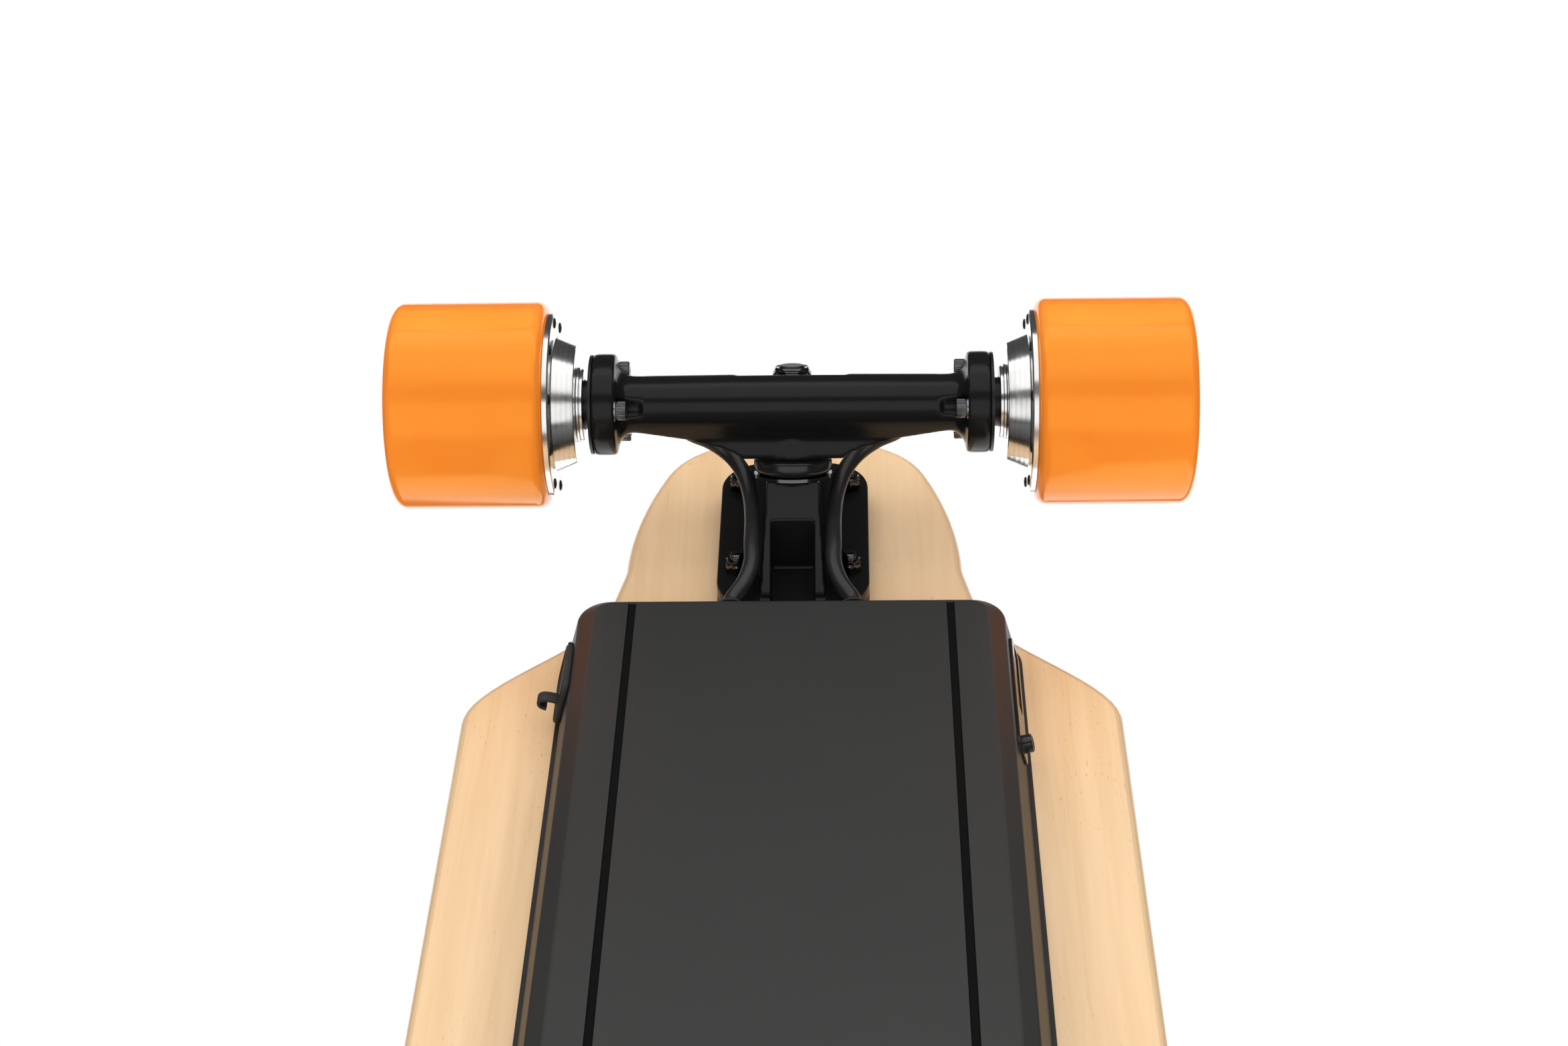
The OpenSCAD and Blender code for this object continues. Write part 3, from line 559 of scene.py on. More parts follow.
def groove_shade_finish():
    """Near-black matte sheet that lines the enclosure's grooves: painted shade for their depth."""
    f = Finish("groove_painted_shade", (0.003, 0.003, 0.003), 0.9, Specular_IOR_Level=0.1)
    skin = f.noise(1800, 3)
    f.colour(f.ramp(skin, (0.3, 0.002), (0.7, 0.004)))
    return f.bump(skin, 0.00003, 0.5).material


def board_finish():
    """Green solder mask with faint tracks."""
    f = Finish("circuit_board", (0.02, 0.16, 0.06), 0.35, Coat_Weight=0.4)
    tracks = f.noise(1, 1, (300, 900, 300))
    f.colour(f.ramp(tracks, (0.48, (0.012, 0.11, 0.04)), (0.52, (0.03, 0.2, 0.08))))
    return f.bump(tracks, 0.00005, 0.5).material


def make_finishes():
    """One finish for each material slot of the record."""
    return {
        "maple": maple_finish(),
        "grip": grip_finish(),
        "black_aluminium": coated_metal("black_aluminium", (0.011, 0.011, 0.0105), (0.44, 0.5),
                                        3500, 0.00002, Specular_IOR_Level=0.8),
        "black_rubber": soft_finish("black_rubber", (0.016, 0.016, 0.016), (0.5, 0.65), 1800, 0.00004),
        "black_steel": coated_metal("black_steel", (0.02, 0.02, 0.021), (0.28, 0.4), 2600, 0.00002,
                                    Metallic=0.6),
        "black_chrome": bare_metal("black_chrome", (0.14, 0.14, 0.15), (0.1, 0.2), (400, 400, 400)),
        "black_casting": coated_metal("black_casting", (0.006, 0.006, 0.006), (0.18, 0.24),
                                      1500, 0.00003, Specular_IOR_Level=0.22),
        "black_plastic": soft_finish("black_plastic", (0.03, 0.03, 0.03), (0.4, 0.55), 2500, 0.00003),
        # near-black sheet in the grooves: painted shade
        "groove_painted_shade": groove_shade_finish(),
        "gloss_plastic": soft_finish("gloss_plastic", (0.012, 0.012, 0.012), (0.12, 0.2), 900, 0.00001),
        "cell_wrap": soft_finish("cell_wrap", (0.05, 0.35, 0.2), (0.25, 0.4), 600, 0.00002),
        "nickel": bare_metal("nickel", (0.7, 0.69, 0.65), (0.25, 0.4), (60, 900, 900)),
        "circuit_board": board_finish(),
        "bare_aluminium": bare_metal("bare_aluminium", (0.78, 0.78, 0.79), (0.25, 0.4), (900, 60, 900)),
        "polished_aluminium": turned_finish(),
        "cable_jacket": soft_finish("cable_jacket", (0.012, 0.012, 0.012), (0.28, 0.4), 900, 0.00003),
        "riser_rubber": soft_finish("riser_rubber", (0.09, 0.045, 0.03), (0.5, 0.7), 1200, 0.00006),
        "bushing_urethane": soft_finish("bushing_urethane", (0.010, 0.010, 0.010), (0.14, 0.24),
                                        500, 0.00003),
        "orange_urethane": urethane_finish(),
        "electrical_steel": bare_metal("electrical_steel", (0.4, 0.4, 0.41), (0.3, 0.5), (2500, 60, 60)),
        "copper_wire": bare_metal("copper_wire", (0.72, 0.35, 0.16), (0.25, 0.4), (60, 1500, 1500)),
        "bright_steel": bare_metal("bright_steel", (0.72, 0.72, 0.73), (0.15, 0.28), (90, 900, 900)),
    }


finishes = make_finishes()
slot_of = {s["node"]: s["material_slot"] for s in frame["record"]["subparts"]}
for name, node in nodes.items():
    node.data.materials.clear()
    node.data.materials.append(finishes[slot_of[name]])
    node.data.set_sharp_from_angle(angle=math.radians(35))


# ---------- deck ----------

# In millimetres: distances from either tip, and half widths there
DECK_LEN = 930
DECK_W = 230
TIP_RUN = 28
NECK_RUN = 89
NECK_HALF = 62.8
FLARE_FROM = 112
FLARE_TO = 177
FLARE_HALF = 67.4
NECK_BOW = 340


def tail_half(s):
    """Half width of the bowed neck, before the tip rounds it off."""
    return NECK_HALF - (NECK_RUN - s) ** 2 / NECK_BOW


def deck_half(s):
    """Half width of the deck at a distance from either tip, both in millimetres."""
    if s < TIP_RUN:
        return tail_half(s) * (1 - ((TIP_RUN - s) / TIP_RUN) ** 3) ** (1 / 3)
    if s < NECK_RUN:
        return tail_half(s)
    if s < FLARE_FROM:
        return NECK_HALF + (FLARE_HALF - NECK_HALF) * (s - NECK_RUN) / (FLARE_FROM - NECK_RUN)
    t = min(1, (s - FLARE_FROM) / (FLARE_TO - FLARE_FROM))
    return FLARE_HALF + (DECK_W / 2 - FLARE_HALF) * t * t * (3 - 2 * t)


def deck_outline():
    """The right edge from nose to tail, then the left edge back."""
    steps = [0.1, 0.3, 0.6, 1.1, 1.8, 2.8, 4.1, 5.8, 8, 10.5, 13.5, 17, 21, 24.5]
    steps += [28 + 4 * k for k in range(39)]
    right = [(deck_half(s) * MM, (DECK_LEN / 2 - s) * MM) for s in steps]
    right += [(x, -y) for x, y in reversed(right)]
    return right + [(-x, y) for x, y in reversed(right)]


def inset(outline, amount):
    """The outline moved inwards along its own normals."""
    moved = []
    for i, (x, y) in enumerate(outline):
        ax, ay = outline[i - 1]
        bx, by = outline[(i + 1) % len(outline)]
        length = math.hypot(bx - ax, by - ay)
        moved.append((x + amount * (by - ay) / length, y - amount * (bx - ax) / length))
    return moved


def build_deck():
    """The pressed deck, with its edges routed round."""
    outline = deck_outline()
    size = len(outline)
    edge_r = 3.2 * MM
    rings = []
    for start, z, way in ((0, DECK_Z, 1), (90, DECK_TOP, -1)):
        for k in range(6):
            q = math.radians(start + 18 * k)
            amount = edge_r * (1 - math.sin(q))
            rise = edge_r * (1 - math.cos(q)) if way > 0 else -edge_r * (1 - math.cos(q))
            rings.append([Vector((x, y, z + rise)) for x, y in inset(outline, amount)])
    points, faces = loft(rings, capped=False)
    top = (len(rings) - 1) * size
    for i in range(size // 2 - 1):
        other = size - 1 - i
        faces.append((i, i + 1, other - 1, other))
        faces.append((top + i, top + other, top + other - 1, top + i + 1))
    place(new_object("deck_wood", (points, faces), finishes["maple"], sharp=50),
          "deck", "maple", "deck")


# ---------- enclosure ----------

# Places along the board, and from there along it
PORT_Y = -0.292
PORT_R = 0.0061
HINGE_ALONG = -0.0155
STRAP_ALONG = 0.011
SWITCH_Y = -0.282
WINDOW_ALONG = -0.011
BUTTON_ALONG = 0.024
WALL_CUT = 0.006
GLAND_X = 22 * MM
GLAND_BELOW = 13 * MM
GLAND_R = 0.0051
GROOVE_X = 56 * MM


def build_enclosure():
    """The tray: flared walls, a bevelled rim, two long grooves and its openings."""
    levels = [
        (22.0, 12, 9, 6), (21.2, 8.0, 6.2, 8), (1.5, 2.2, 2.2, 13),
        (1.5, 0.3, 0.3, 14.7), (1.9, 0, 0, 15), (2.6, 0.15, 0.1, 14.9), (12, 2.5, 1.6, 13),
        (20.6, 4.9, 3.2, 11.2), (21.2, 5.2, 3.4, 11), (21.7, 5.8, 3.8, 10.6), (23.5, 9.6, 6.3, 7.8),
        (23.85, 10.4, 6.9, 7.2), (24.0, 11.2, 7.5, 6.8),
    ]
    rings = []
    for below, dx, dy, r in levels:
        flat = rounded_rect(TRAY_X - dx * MM, TRAY_Y - dy * MM, r * MM, 10)
        rings.append([Vector((x, y, DECK_Z - below * MM)) for x, y in flat])
    tray = new_object("enclosure_shell", loft(rings), finishes["black_aluminium"], sharp=10)
    section = [(-1.5, 0.3), (-1.4, -0.05), (-1.4, -1.5), (1.4, -1.5), (1.4, -0.05), (1.5, 0.3)]
    cuts = []
    for x in (-GROOVE_X, GROOVE_X):
        ends = [Vector((x, y, DECK_Z - TRAY_H)) for y in (-TRAY_Y - 5 * MM, TRAY_Y + 5 * MM)]
        cuts.append(loft([[e + Vector((sx * MM, 0, -sz * MM)) for sx, sz in section] for e in ends]))
    cuts.append(revolve(plug(PORT_R, -WALL_CUT, WALL_CUT), on_wall(LEFT, PORT_Y, 0, 0, 0),
                        wall_way(LEFT, PORT_Y, 0, 1), 48))
    opening = rounded_rect(4.5 * MM, 27.5 * MM, 1.5 * MM, 4)
    cuts.append(loft([[on_wall(RIGHT, SWITCH_Y, a, b, d) for a, b in opening]
                      for d in (-WALL_CUT, WALL_CUT)]))
    for side in (LEFT, RIGHT):
        cuts.append(revolve(plug(GLAND_R, 0.053, 0.067),
                            on_truck(REAR, side * GLAND_X, 0, GLAND_BELOW), (0, 1, 0), 40))
    cut(tray, joined(*cuts), 10)
    place(tray, "deck", "black_aluminium", "enclosure")
    # Near-black sheets laid in the two grooves: painted shade that stands for the grooves' depth.
    shade_sheets = []
    for x in (-GROOVE_X, GROOVE_X):
        run = TRAY_Y - 7.6 * MM
        flat = [(x + sx * 1.38 * MM, y) for sx, y in ((-1, -run), (1, -run), (1, run), (-1, run))]
        shade_sheets.append(loft([[Vector((a, b, DECK_Z - TRAY_H + up * MM)) for a, b in flat]
                            for up in (1.45, 0.55)]))
    place(new_object("groove_shade_sheets", joined(*shade_sheets), finishes["groove_painted_shade"]),
          "deck", "black_rubber", "enclosure")


def build_port_cover():
    """Rubber cover with a sunk face, a moulded hinge and a folded pull strap."""
    body = []
    levels = ((0.2, 0.3), (0, 0.5), (0, 2.0), (0.2, 2.45), (0.7, 2.7), (1.5, 2.7), (1.9, 2.35))
    for inset_by, out in levels:
        flat = rounded_rect((9 - inset_by) * MM, (14 - inset_by) * MM, (5 - inset_by) * MM, 6)
        body.append([on_wall(LEFT, PORT_Y, a, b, out * MM) for a, b in flat])
    pin = on_wall(LEFT, PORT_Y, 0, HINGE_ALONG, 1.1 * MM)
    down = wall_way(LEFT, PORT_Y, 1, 0)
    barrel = [(0, -6), (0.85, -6), (1, -5.8), (1, 5.8), (0.85, 6), (0, 6)]
    barrel = revolve([(r * MM, h * MM) for r, h in barrel], pin, down, 32)
    leaf = loft([[on_wall(LEFT, PORT_Y, a * MM, b * MM, out * MM) for a, b in
                  ((-5, -15.5), (5, -15.5), (5, -13.5), (-5, -13.5))] for out in (0.5, 2.0)])
    strap_path = smooth_path([
        Vector((1.6, 0, 1.8)), Vector((1.9, 0, 4.5)), Vector((1.6, 0, 7.6)), Vector((0.2, 0, 9.0)),
        Vector((-1.4, 0, 8.2)), Vector((-2.0, 0, 6.0)),
    ], 5)
    points, faces = sweep(strap_path, rounded_rect(0.6, 2.4, 0.35, 3))
    strap = [on_wall(LEFT, PORT_Y, p.x * MM, p.y * MM + STRAP_ALONG, p.z * MM) for p in points]
    shape = joined(loft(body), barrel, leaf, (strap, faces))
    place(new_object("port_cover_rubber", shape, finishes["black_rubber"], sharp=50),
          "port_flap", "black_rubber", "port_cover")


def build_switch():
    """The glossy switch plate with its sunk window, and the round button."""
    flat = [((6, 30, 4), 0.05), ((6, 30, 4), 0.9), ((5.7, 29.7, 3.7), 1.22), ((3.6, 28, 2.4), 1.22)]
    plate = [[on_wall(RIGHT, SWITCH_Y, a, b, out * MM) for a, b in
              rounded_rect(w * MM, h * MM, r * MM, 6)] for (w, h, r), out in flat]
    window = [[on_wall(RIGHT, SWITCH_Y, a, b + WINDOW_ALONG, out * MM) for a, b in
               rounded_rect(w * MM, h * MM, r * MM, 6)] for w, h, r, out in
              ((2.7, 16.6, 1.8, 0.6), (3, 17, 2, 0.75), (3.1, 17.1, 2.1, 2))]
    out = wall_way(RIGHT, SWITCH_Y, 0, 1)
    at = on_wall(RIGHT, SWITCH_Y, 0, BUTTON_ALONG, 0)
    hole = [(0, -0.001), (0.00325, -0.001), (0.00325, 0.0009), (0.0036, 0.002), (0, 0.002)]
    hole = revolve(hole, at, out, 48)
    shell = new_object("switch_plate", loft(plate), finishes["gloss_plastic"])
    cut(shell, joined(loft(window), hole))
    place(shell, "deck", "black_plastic", "switch_housing")
    knob = [(0, 4.1), (2.2, 4.15), (2.55, 4.4), (2.9, 4.3), (3.2, 3.9), (3.2, -6), (0, -6)]
    knob = [(r * MM, h * MM) for r, h in knob]
    place(new_object("power_knob", revolve(knob, at, out, 48), finishes["gloss_plastic"]),
          "power_key", "black_plastic", "power_button")


def build_cable_glands():
    """Flared rubber collars with three ribs where the motor cables go in."""
    shapes = []
    profile = [(3.1, 55), (3.1, 69), (5, 69), (5, 60.3), (6.8, 60.2), (6.8, 59.6), (6.2, 59.3),
               (6.3, 58.8), (5.7, 58.5), (5.8, 58.0), (5.2, 57.7), (4.9, 56.6), (4.2, 55.2)]
    for side in (LEFT, RIGHT):
        shapes.append(revolve([(r * MM, h * MM) for r, h in profile],
                              on_truck(REAR, side * GLAND_X, 0, GLAND_BELOW), (0, 1, 0), 48, closed=True))
    place(new_object("cable_gland_rubber", joined(*shapes), finishes["black_rubber"]),
          "deck", "black_rubber", "cable_glands")


# ---------- motor cables ----------

# Route on the right: [outwards, towards the middle, below the deck], in millimetres
CABLE_ROUTE = [
    (44, -11, 51), (42, -14, 46), (38, -17, 40), (31, -19, 35), (24, -16, 31), (19, -9, 28),
    (16, 2, 25), (15, 14, 23), (15, 26, 21), (15, 36, 18.5), (17.5, 45, 16), (22, 52, 13),
    (22, 60, 13),
]


def build_motor_cables():
    """Two smooth jackets that run in curves from the hanger to the enclosure."""
    for side, name in ((LEFT, "left_motor_cable"), (RIGHT, "right_motor_cable")):
        path = smooth_path([on_truck(REAR, side * x * MM, a * MM, w * MM) for x, a, w in CABLE_ROUTE])
        cable = new_object(name, sweep(path, circle(CABLE_R, 28)), finishes["cable_jacket"], sharp=60)
        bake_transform(cable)
        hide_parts("motor_cables")


# ---------- trucks ----------

def build_baseplate(name):
    """The cast baseplate, with its edges rounded over."""
    plate = new_object(name + "_casting", cad_shape(name), finishes["black_casting"])
    soften(plate, 0.55 * MM, 3)
    place(plate, "deck", "black_casting", name)


def build_hanger(name, body):
    """The cast hanger, with its hard joins blended into each other."""
    hanger = new_object(name + "_casting", cad_shape(name), finishes["black_casting"])
    soften(hanger, 0.6 * MM, 22)
    place(hanger, body, "black_casting", name)


def build_bushings(end, name):
    """A round-edged ring above the yoke and a cone under it."""
    foot, lean = kingpin(end)
    half = RING_T / 2
    bore = KINGPIN_R + 0.6 * MM
    corner = 2.9 * MM
    ring = [(bore, -half), (BUSHING_R - corner, -half)]
    ring += arc(BUSHING_R - corner, -half + corner, corner, -90, -8)
    ring += arc(BUSHING_R - corner, half - corner - 0.3 * MM, corner, 8, 90)
    ring += [(bore, half - 0.3 * MM)]
    low, high = UPPER_AT + 0.3 * MM, UPPER_AT + UPPER_T
    cone = [(bore, low), (UPPER_R - 1.2 * MM, low), (UPPER_R - 0.2 * MM, low + 0.8 * MM),
            (UPPER_R - 1.5 * MM, high - 1.6 * MM), (UPPER_R - 2.4 * MM, high - 0.5 * MM),
            (UPPER_R - 3.4 * MM, high), (bore, high)]
    for part, profile, fixed, moving in (
        ("ring", ring, -half, half), ("cone", cone, high, low),
    ):
        shape = revolve(profile, foot, lean, 128, closed=True)
        piece = new_object(f"{name}_{part}", shape, finishes["bushing_urethane"], sharp=40)
        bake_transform(piece)
        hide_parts(name)


def nut_shape(origin, axis, flats, height, bore, collar_r, collar_h):
    """A locking nut: chamfered hexagon, turned collar and its plastic ring."""
    chamfer = flats * 0.085
    full = flats / 2 / math.cos(math.pi / 6)
    profile = [
        (bore, 0), (capped_hexagon(flats, full - chamfer), 0), (hexagon(flats), chamfer * 0.7),
        (hexagon(flats), height - chamfer * 0.7), (capped_hexagon(flats, full - chamfer), height),
        (collar_r, height), (collar_r, height + collar_h * 0.6), (collar_r * 0.93, height + collar_h),
        (bore, height + collar_h * 0.9),
    ]
    return revolve(profile, origin, axis, 96, closed=True)


def build_truck_bolts():
    """Countersunk bolts with hex sockets, threaded studs and locking nuts, four to a truck."""
    bolts, nuts = [], []
    top = DECK_TOP + 0.8 * MM
    head = [(0, -2.0), (hexagon(3.0 * MM), -2.0), (hexagon(3.0 * MM), -0.25), (hexagon(3.3 * MM), 0),
            (4.6, 0), (4.85, -0.25), (2.5, -2.6), (2.5, -14.0), (0, -14.0)]
    head = [(r if callable(r) else r * MM, h * MM) for r, h in head]
    for end in (REAR, FRONT):
        for hole in truck_holes(end):
            bolts.append(revolve(head, (hole.x, hole.y, top), (0, 0, 1), 72))
            down = (0, 0, -1)
            bolts.append(thread(BOLT_R, 0.8 * MM, 0.42 * MM, -2 * MM, BOLT_END, hole, down))
            nuts.append(nut_shape(hole - Vector((0, 0, PLATE_TOP)), down, 8 * MM, 4 * MM,
                                  BOLT_R - 0.2 * MM, 3.6 * MM, 1.2 * MM))
    place(new_object("truck_bolts", joined(*bolts), finishes["black_chrome"]),
          "deck", "black_chrome", "deck_bolts")
    place(new_object("truck_nuts", joined(*nuts), finishes["black_chrome"]),
          "deck", "black_chrome", "deck_nuts")


def build_kingpin_nuts():
    """One larger locking nut on each kingpin."""
    shapes = []
    for end in (REAR, FRONT):
        foot, lean = kingpin(end)
        shapes.append(nut_shape(foot + lean * NUT_AT, lean, 14.3 * MM, 6 * MM,
                                KINGPIN_R + 0.02 * MM, 6.5 * MM, 1.8 * MM))
    place(new_object("kingpin_lock_nuts", joined(*shapes), finishes["black_chrome"]),
          "deck", "black_chrome", "kingpin_nuts")


def build_flange_screws():
    """Cap screws with knurled heads and hex sockets, on bright washers."""
    screws, washers = [], []
    head = [
        (0, 61.4 * MM), (hexagon(3 * MM), 61.4 * MM), (hexagon(3 * MM), 59.4 * MM),
        (hexagon(3.3 * MM), 59.2 * MM),
        (3.1 * MM, 59.2 * MM), (knurled(3.4 * MM, 0.05 * MM, 36), 59.5 * MM),
        (knurled(3.5 * MM, 0.14 * MM, 36), 59.8 * MM), (knurled(3.5 * MM, 0.14 * MM, 36), 62.8 * MM),
        (3.35 * MM, 63.1 * MM), (2 * MM, 63.1 * MM), (2 * MM, 71 * MM), (0, 71 * MM),
    ]
    washer = [(2.1 * MM, 63.1 * MM), (3.9 * MM, 63.1 * MM), (4.2 * MM, 63.25 * MM),
              (4.2 * MM, 63.5 * MM), (2.1 * MM, 63.6 * MM)]
    for side in (LEFT, RIGHT):
        for i in range(3):
            q = math.radians(-22.5 - 120 * i)
            spot = wheel_centre(REAR) + FLANGE_SCREW_RING * Vector((0, math.cos(q), math.sin(q)))
            screws.append(revolve(head, spot, (side, 0, 0), 144))
            washers.append(revolve(washer, spot, (side, 0, 0), 48, closed=True))
    place(new_object("flange_cap_screws", joined(*screws), finishes["black_chrome"], sharp=25),
          "rear_truck", "black_chrome", "flange_screws")
    place(new_object("flange_washers", joined(*washers), finishes["bright_steel"]),
          "rear_truck", "bright_steel", "flange_screws")


# ---------- wheels ----------

def build_tyre(end, side, name):
    """A cast tyre: slightly crowned tread, round shoulders and a stepped lip at its bore."""
    corner = 4.2 * MM
    edge = TYRE_R - corner
    profile = [(CAN_R + 0.02 * MM, TYRE_IN + 0.4 * MM), (CAN_R + 1 * MM, TYRE_IN)]
    profile += arc(edge, TYRE_IN + corner, corner, -90, 0, 9)
    profile += arc(edge, TYRE_OUT - corner, corner, 0, 90, 9)
    profile += [(CAN_R + 1.8 * MM, TYRE_OUT), (CAN_R + 1.4 * MM, TYRE_OUT - 0.5 * MM),
                (CAN_R + 0.02 * MM, TYRE_OUT - 0.6 * MM)]
    centre = wheel_centre(end)
    shape = revolve(profile, centre, (side, 0, 0), 192, closed=True)
    origin = centre + Vector((side * (TYRE_IN + TYRE_OUT) / 2, 0, 0))
    body = name.replace("_tyre", "_wheel")
    place(new_object(name + "_cast", shape, finishes["orange_urethane"], origin, 50),
          body, "orange_urethane", name)


def build_motor_cover(side, name):
    """The turned cover: rim disc, cone, flat nose and two step rings."""
    c = 0.25 * MM
    profile = [
        (9.3 * MM, STEP_FACE), (13.2 * MM - c, STEP_FACE), (13.2 * MM, STEP_FACE + c),
        (13.2 * MM, STEP_FACE + 0.9 * MM), (12.9 * MM, STEP_FACE + 1.05 * MM),
        (12.9 * MM, STEP_FACE + 1.2 * MM),
        (13.8 * MM - c, STEP_FACE + 1.2 * MM), (13.8 * MM, STEP_FACE + 1.2 * MM + c),
        (13.8 * MM, CONE_FACE - c), (14.0 * MM, CONE_FACE), (21.5 * MM - c, CONE_FACE),
        (21.5 * MM + c * 0.4, CONE_FACE + c), (24.8 * MM - 0.1 * MM, COVER_FACE - c), (25.1 * MM, COVER_FACE),
        (COVER_R - 2 * c, COVER_FACE), (COVER_R, COVER_FACE + 2 * c), (COVER_R, TYRE_IN - 0.4 * MM),
        (COVER_R - c, TYRE_IN - 0.02 * MM), (28 * MM, TYRE_IN - 0.02 * MM), (28 * MM, TYRE_IN + 3 * MM),
        (18 * MM, TYRE_IN + 3 * MM), (14.02 * MM, TYRE_IN), (14.02 * MM, TYRE_IN - 8 * MM),
        (9.3 * MM, TYRE_IN - 8 * MM),
    ]
    centre = wheel_centre(REAR)
    shape = revolve(profile, centre, (side, 0, 0), 192, closed=True)
    body = name.replace("_inner_cover", "_wheel")
    place(new_object(name + "_turned", shape, finishes["polished_aluminium"], centre, 30),
          body, "polished_aluminium", name)


def build_cover_screws(side, name):
    """Ten small button heads with hex sockets round the cover's rim."""
    face = COVER_FACE
    head = [(0, 0.1), (hexagon(1.5 * MM), 0.1), (hexagon(1.5 * MM), -0.5), (1.15, -0.62), (1.7, -0.45),
            (2.0, -0.1), (2.0, 0), (1.25, 0), (1.25, 2.4), (0, 2.4)]
    head = [(r if callable(r) else r * MM, face + h * MM) for r, h in head]
    shapes = []
    for i in range(COVER_SCREWS):
        q = math.radians(36 * (i + 0.5))
        spot = wheel_centre(REAR) + COVER_SCREW_RING * Vector((0, math.sin(q), math.cos(q)))
        shapes.append(revolve(head, spot, (side, 0, 0), 36))
    body = name.replace("_cover_screws", "_wheel")
    place(new_object(name + "_heads", joined(*shapes), finishes["black_steel"]),
          body, "black_steel", name)


def build_outer_cap(side, name):
    """The outer motor cap: a dished face with a raised rim and centre boss."""
    flat = TYRE_OUT - 1.6 * MM
    profile = [(0, flat - 0.4 * MM), (7.4 * MM, flat - 0.4 * MM), (7.8 * MM, flat - 0.8 * MM),
               (8.2 * MM, flat - 1.6 * MM)]
    profile += [(12 * MM, flat - 1.9 * MM), (21.5 * MM, flat - 1.2 * MM), (22.6 * MM, flat - 0.3 * MM),
                (23.2 * MM, flat), (27.2 * MM, flat), (27.98 * MM, flat - 0.5 * MM),
                (27.98 * MM, flat - 4.4 * MM), (19 * MM, flat - 4.4 * MM), (17 * MM, flat - 12.4 * MM),
                (14.02 * MM, flat - 12.4 * MM), (14.02 * MM, flat - 2.4 * MM), (0, flat - 2.4 * MM)]
    centre = wheel_centre(REAR)
    shape = revolve(profile, centre, (side, 0, 0), 160)
    body = name.replace("_outer_cap", "_wheel")
    place(new_object(name + "_turned", shape, finishes["black_aluminium"], centre, 30),
          body, "black_aluminium", name)


# ---------- studio ----------

def build_floor():
    """A pale floor. Its underside is clear, so that a camera below it still sees the board."""
    half = 8
    corners = ((-half, -half), (half, -half), (half, half), (-half, half))
    shape = [Vector((x, y, -0.0002)) for x, y in corners]
    floor = new_object("studio_floor", (shape, [(0, 1, 2, 3)]), floor_finish())
    floor.visible_shadow = False
    floor.visible_diffuse = False
    floor.visible_glossy = False


def floor_finish():
    """Pale paper in front and fully clear behind."""
    f = Finish("studio_floor", (0.8, 0.8, 0.8), 0.75)
    f.colour(f.ramp(f.noise(3, 2), (0.3, 0.79), (0.7, 0.81)))
    clear = f.tree.nodes.new("ShaderNodeBsdfTransparent")
    choose = f.tree.nodes.new("ShaderNodeMixShader")
    back = f.tree.nodes.new("ShaderNodeNewGeometry").outputs["Backfacing"]
    f.link(back, choose.inputs[0])
    f.link(f.shader.outputs[0], choose.inputs[1])
    f.link(clear.outputs[0], choose.inputs[2])
    f.link(choose.outputs[0], f.tree.nodes["Material Output"].inputs["Surface"])
    return f.material


def softbox(name, direction, distance, size, shine, glow, target):
    """A large rectangular light facing the target. Shine is its brightness in reflections, and
    glow is its brightness as light on surfaces."""
    direction = Vector(direction).normalized()
    for kind, radiance in (("shine", shine), ("glow", glow)):
        if radiance == 0:
            continue
        light = bpy.data.lights.new(f"{name}_{kind}", "AREA")
        light.shape = "RECTANGLE"
        light.size, light.size_y = size
        light.energy = radiance * math.pi * size[0] * size[1]
        obj = bpy.data.objects.new(f"{name}_{kind}", light)
        obj.location = Vector(target) + direction * distance
        obj.rotation_mode = "QUATERNION"
        obj.rotation_quaternion = (-direction).to_track_quat("-Z", "Y")
        obj.visible_camera = False
        obj.visible_diffuse = kind == "glow"
        obj.visible_glossy = kind == "shine"
        bpy.context.scene.collection.objects.link(obj)


# Strength of the white world: as light on surfaces, in reflections, and seen directly
WORLD_GLOW = 0.56
WORLD_SHINE = 0.06
WORLD_SEEN = 1.0


def set_white(background, strength):
    """Makes a world background white, at one strength."""
    background.inputs["Color"].default_value = (1, 1, 1, 1)
    background.inputs["Strength"].default_value = strength


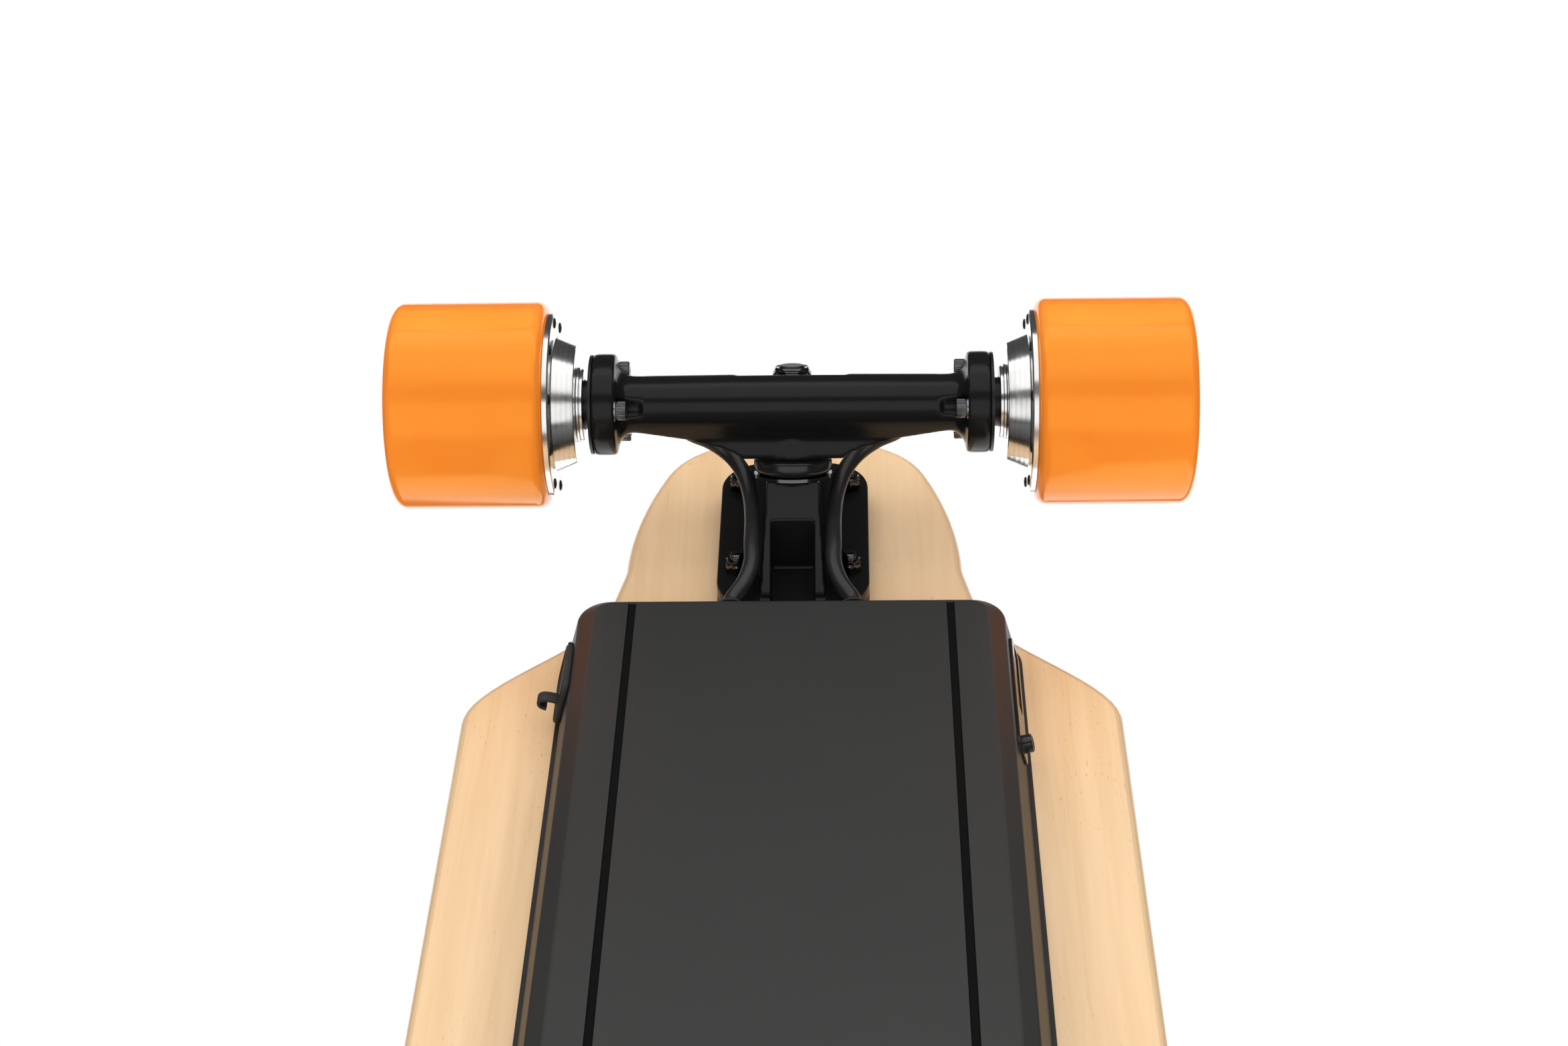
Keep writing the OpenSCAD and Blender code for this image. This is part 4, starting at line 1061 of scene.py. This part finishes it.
def build_lights():
    """Softboxes round the photographed truck, and a world that reflections hardly see."""
    truck = (0, -TRUCK_Y, AXLE_Z)
    softbox("light_below", (0, 0.16, -0.99), 1.25, (3.0, 1.15), 1.0, 1.8, truck)
    softbox("light_behind_camera", (0, 0.955, -0.298), 1.6, (3.0, 1.15), 1.0, 1.95, truck)
    softbox("light_tail", (0, -0.75, -0.66), 1.4, (2.4, 1.0), 0, 1.9, truck)
    softbox("sheen_tail", (0, -0.4, -0.92), 1.25, (3.0, 0.4), 1.3, 0, truck)
    softbox("backdrop", (0, -0.82, 0.57), 2.2, (3.6, 2.0), 1.3, 0, truck)
    softbox("light_above", (0.2, 0.1, 1), 1.8, (2.4, 2.4), 1.5, 1.5, (0, 0, 0.1))
    world = bpy.data.worlds.new("studio")
    bpy.context.scene.world = world
    world.use_nodes = True
    tree = world.node_tree
    ambient = tree.nodes["Background"]
    dim = tree.nodes.new("ShaderNodeBackground")
    seen = tree.nodes.new("ShaderNodeBackground")
    set_white(ambient, WORLD_GLOW)
    set_white(dim, WORLD_SHINE)
    set_white(seen, WORLD_SEEN)
    shiny = tree.nodes.new("ShaderNodeMixShader")
    choose = tree.nodes.new("ShaderNodeMixShader")
    path = tree.nodes.new("ShaderNodeLightPath")
    tree.links.new(path.outputs["Is Glossy Ray"], shiny.inputs[0])
    tree.links.new(ambient.outputs[0], shiny.inputs[1])
    tree.links.new(dim.outputs[0], shiny.inputs[2])
    tree.links.new(path.outputs["Is Camera Ray"], choose.inputs[0])
    tree.links.new(shiny.outputs[0], choose.inputs[1])
    tree.links.new(seen.outputs[0], choose.inputs[2])
    tree.links.new(choose.outputs[0], tree.nodes["World Output"].inputs["Surface"])


CAMERA_AT = Vector((0.0197, 0.4468, -0.4926))
CAMERA_AIM = Vector((-0.02301, -0.82015, 0.57169))
CAMERA_ROLL = math.radians(178.69)
CAMERA_LENS = 62.4
CAMERA_SENSOR = 36


def build_camera():
    """The photograph's camera: under the nose, looking up at the tail, turned upside down."""
    data = bpy.data.cameras.new("camera")
    data.sensor_width = CAMERA_SENSOR
    data.lens = CAMERA_LENS
    camera = bpy.data.objects.new("camera", data)
    camera.location = CAMERA_AT
    camera.rotation_mode = "QUATERNION"
    level = CAMERA_AIM.to_track_quat("-Z", "Y")
    camera.rotation_quaternion = level @ Quaternion((0, 0, 1), CAMERA_ROLL)
    bpy.context.scene.collection.objects.link(camera)
    bpy.context.scene.camera = camera
    bpy.context.scene.view_settings.view_transform = "Standard"


build_camera()
build_lights()
build_floor()
build_deck()
build_enclosure()
build_port_cover()
build_switch()
build_cable_glands()
build_motor_cables()
build_truck_bolts()
build_kingpin_nuts()
build_flange_screws()
for end, end_name in ((REAR, "rear"), (FRONT, "front")):
    build_baseplate(end_name + "_baseplate")
    build_hanger(end_name + "_hanger", end_name + "_truck")
    build_bushings(end, end_name + "_bushings")
    for side, side_name in ((LEFT, "left"), (RIGHT, "right")):
        build_tyre(end, side, f"{end_name}_{side_name}_tyre")
for side, side_name in ((LEFT, "left"), (RIGHT, "right")):
    build_motor_cover(side, f"rear_{side_name}_inner_cover")
    build_cover_screws(side, f"rear_{side_name}_cover_screws")
    build_outer_cap(side, f"rear_{side_name}_outer_cap")
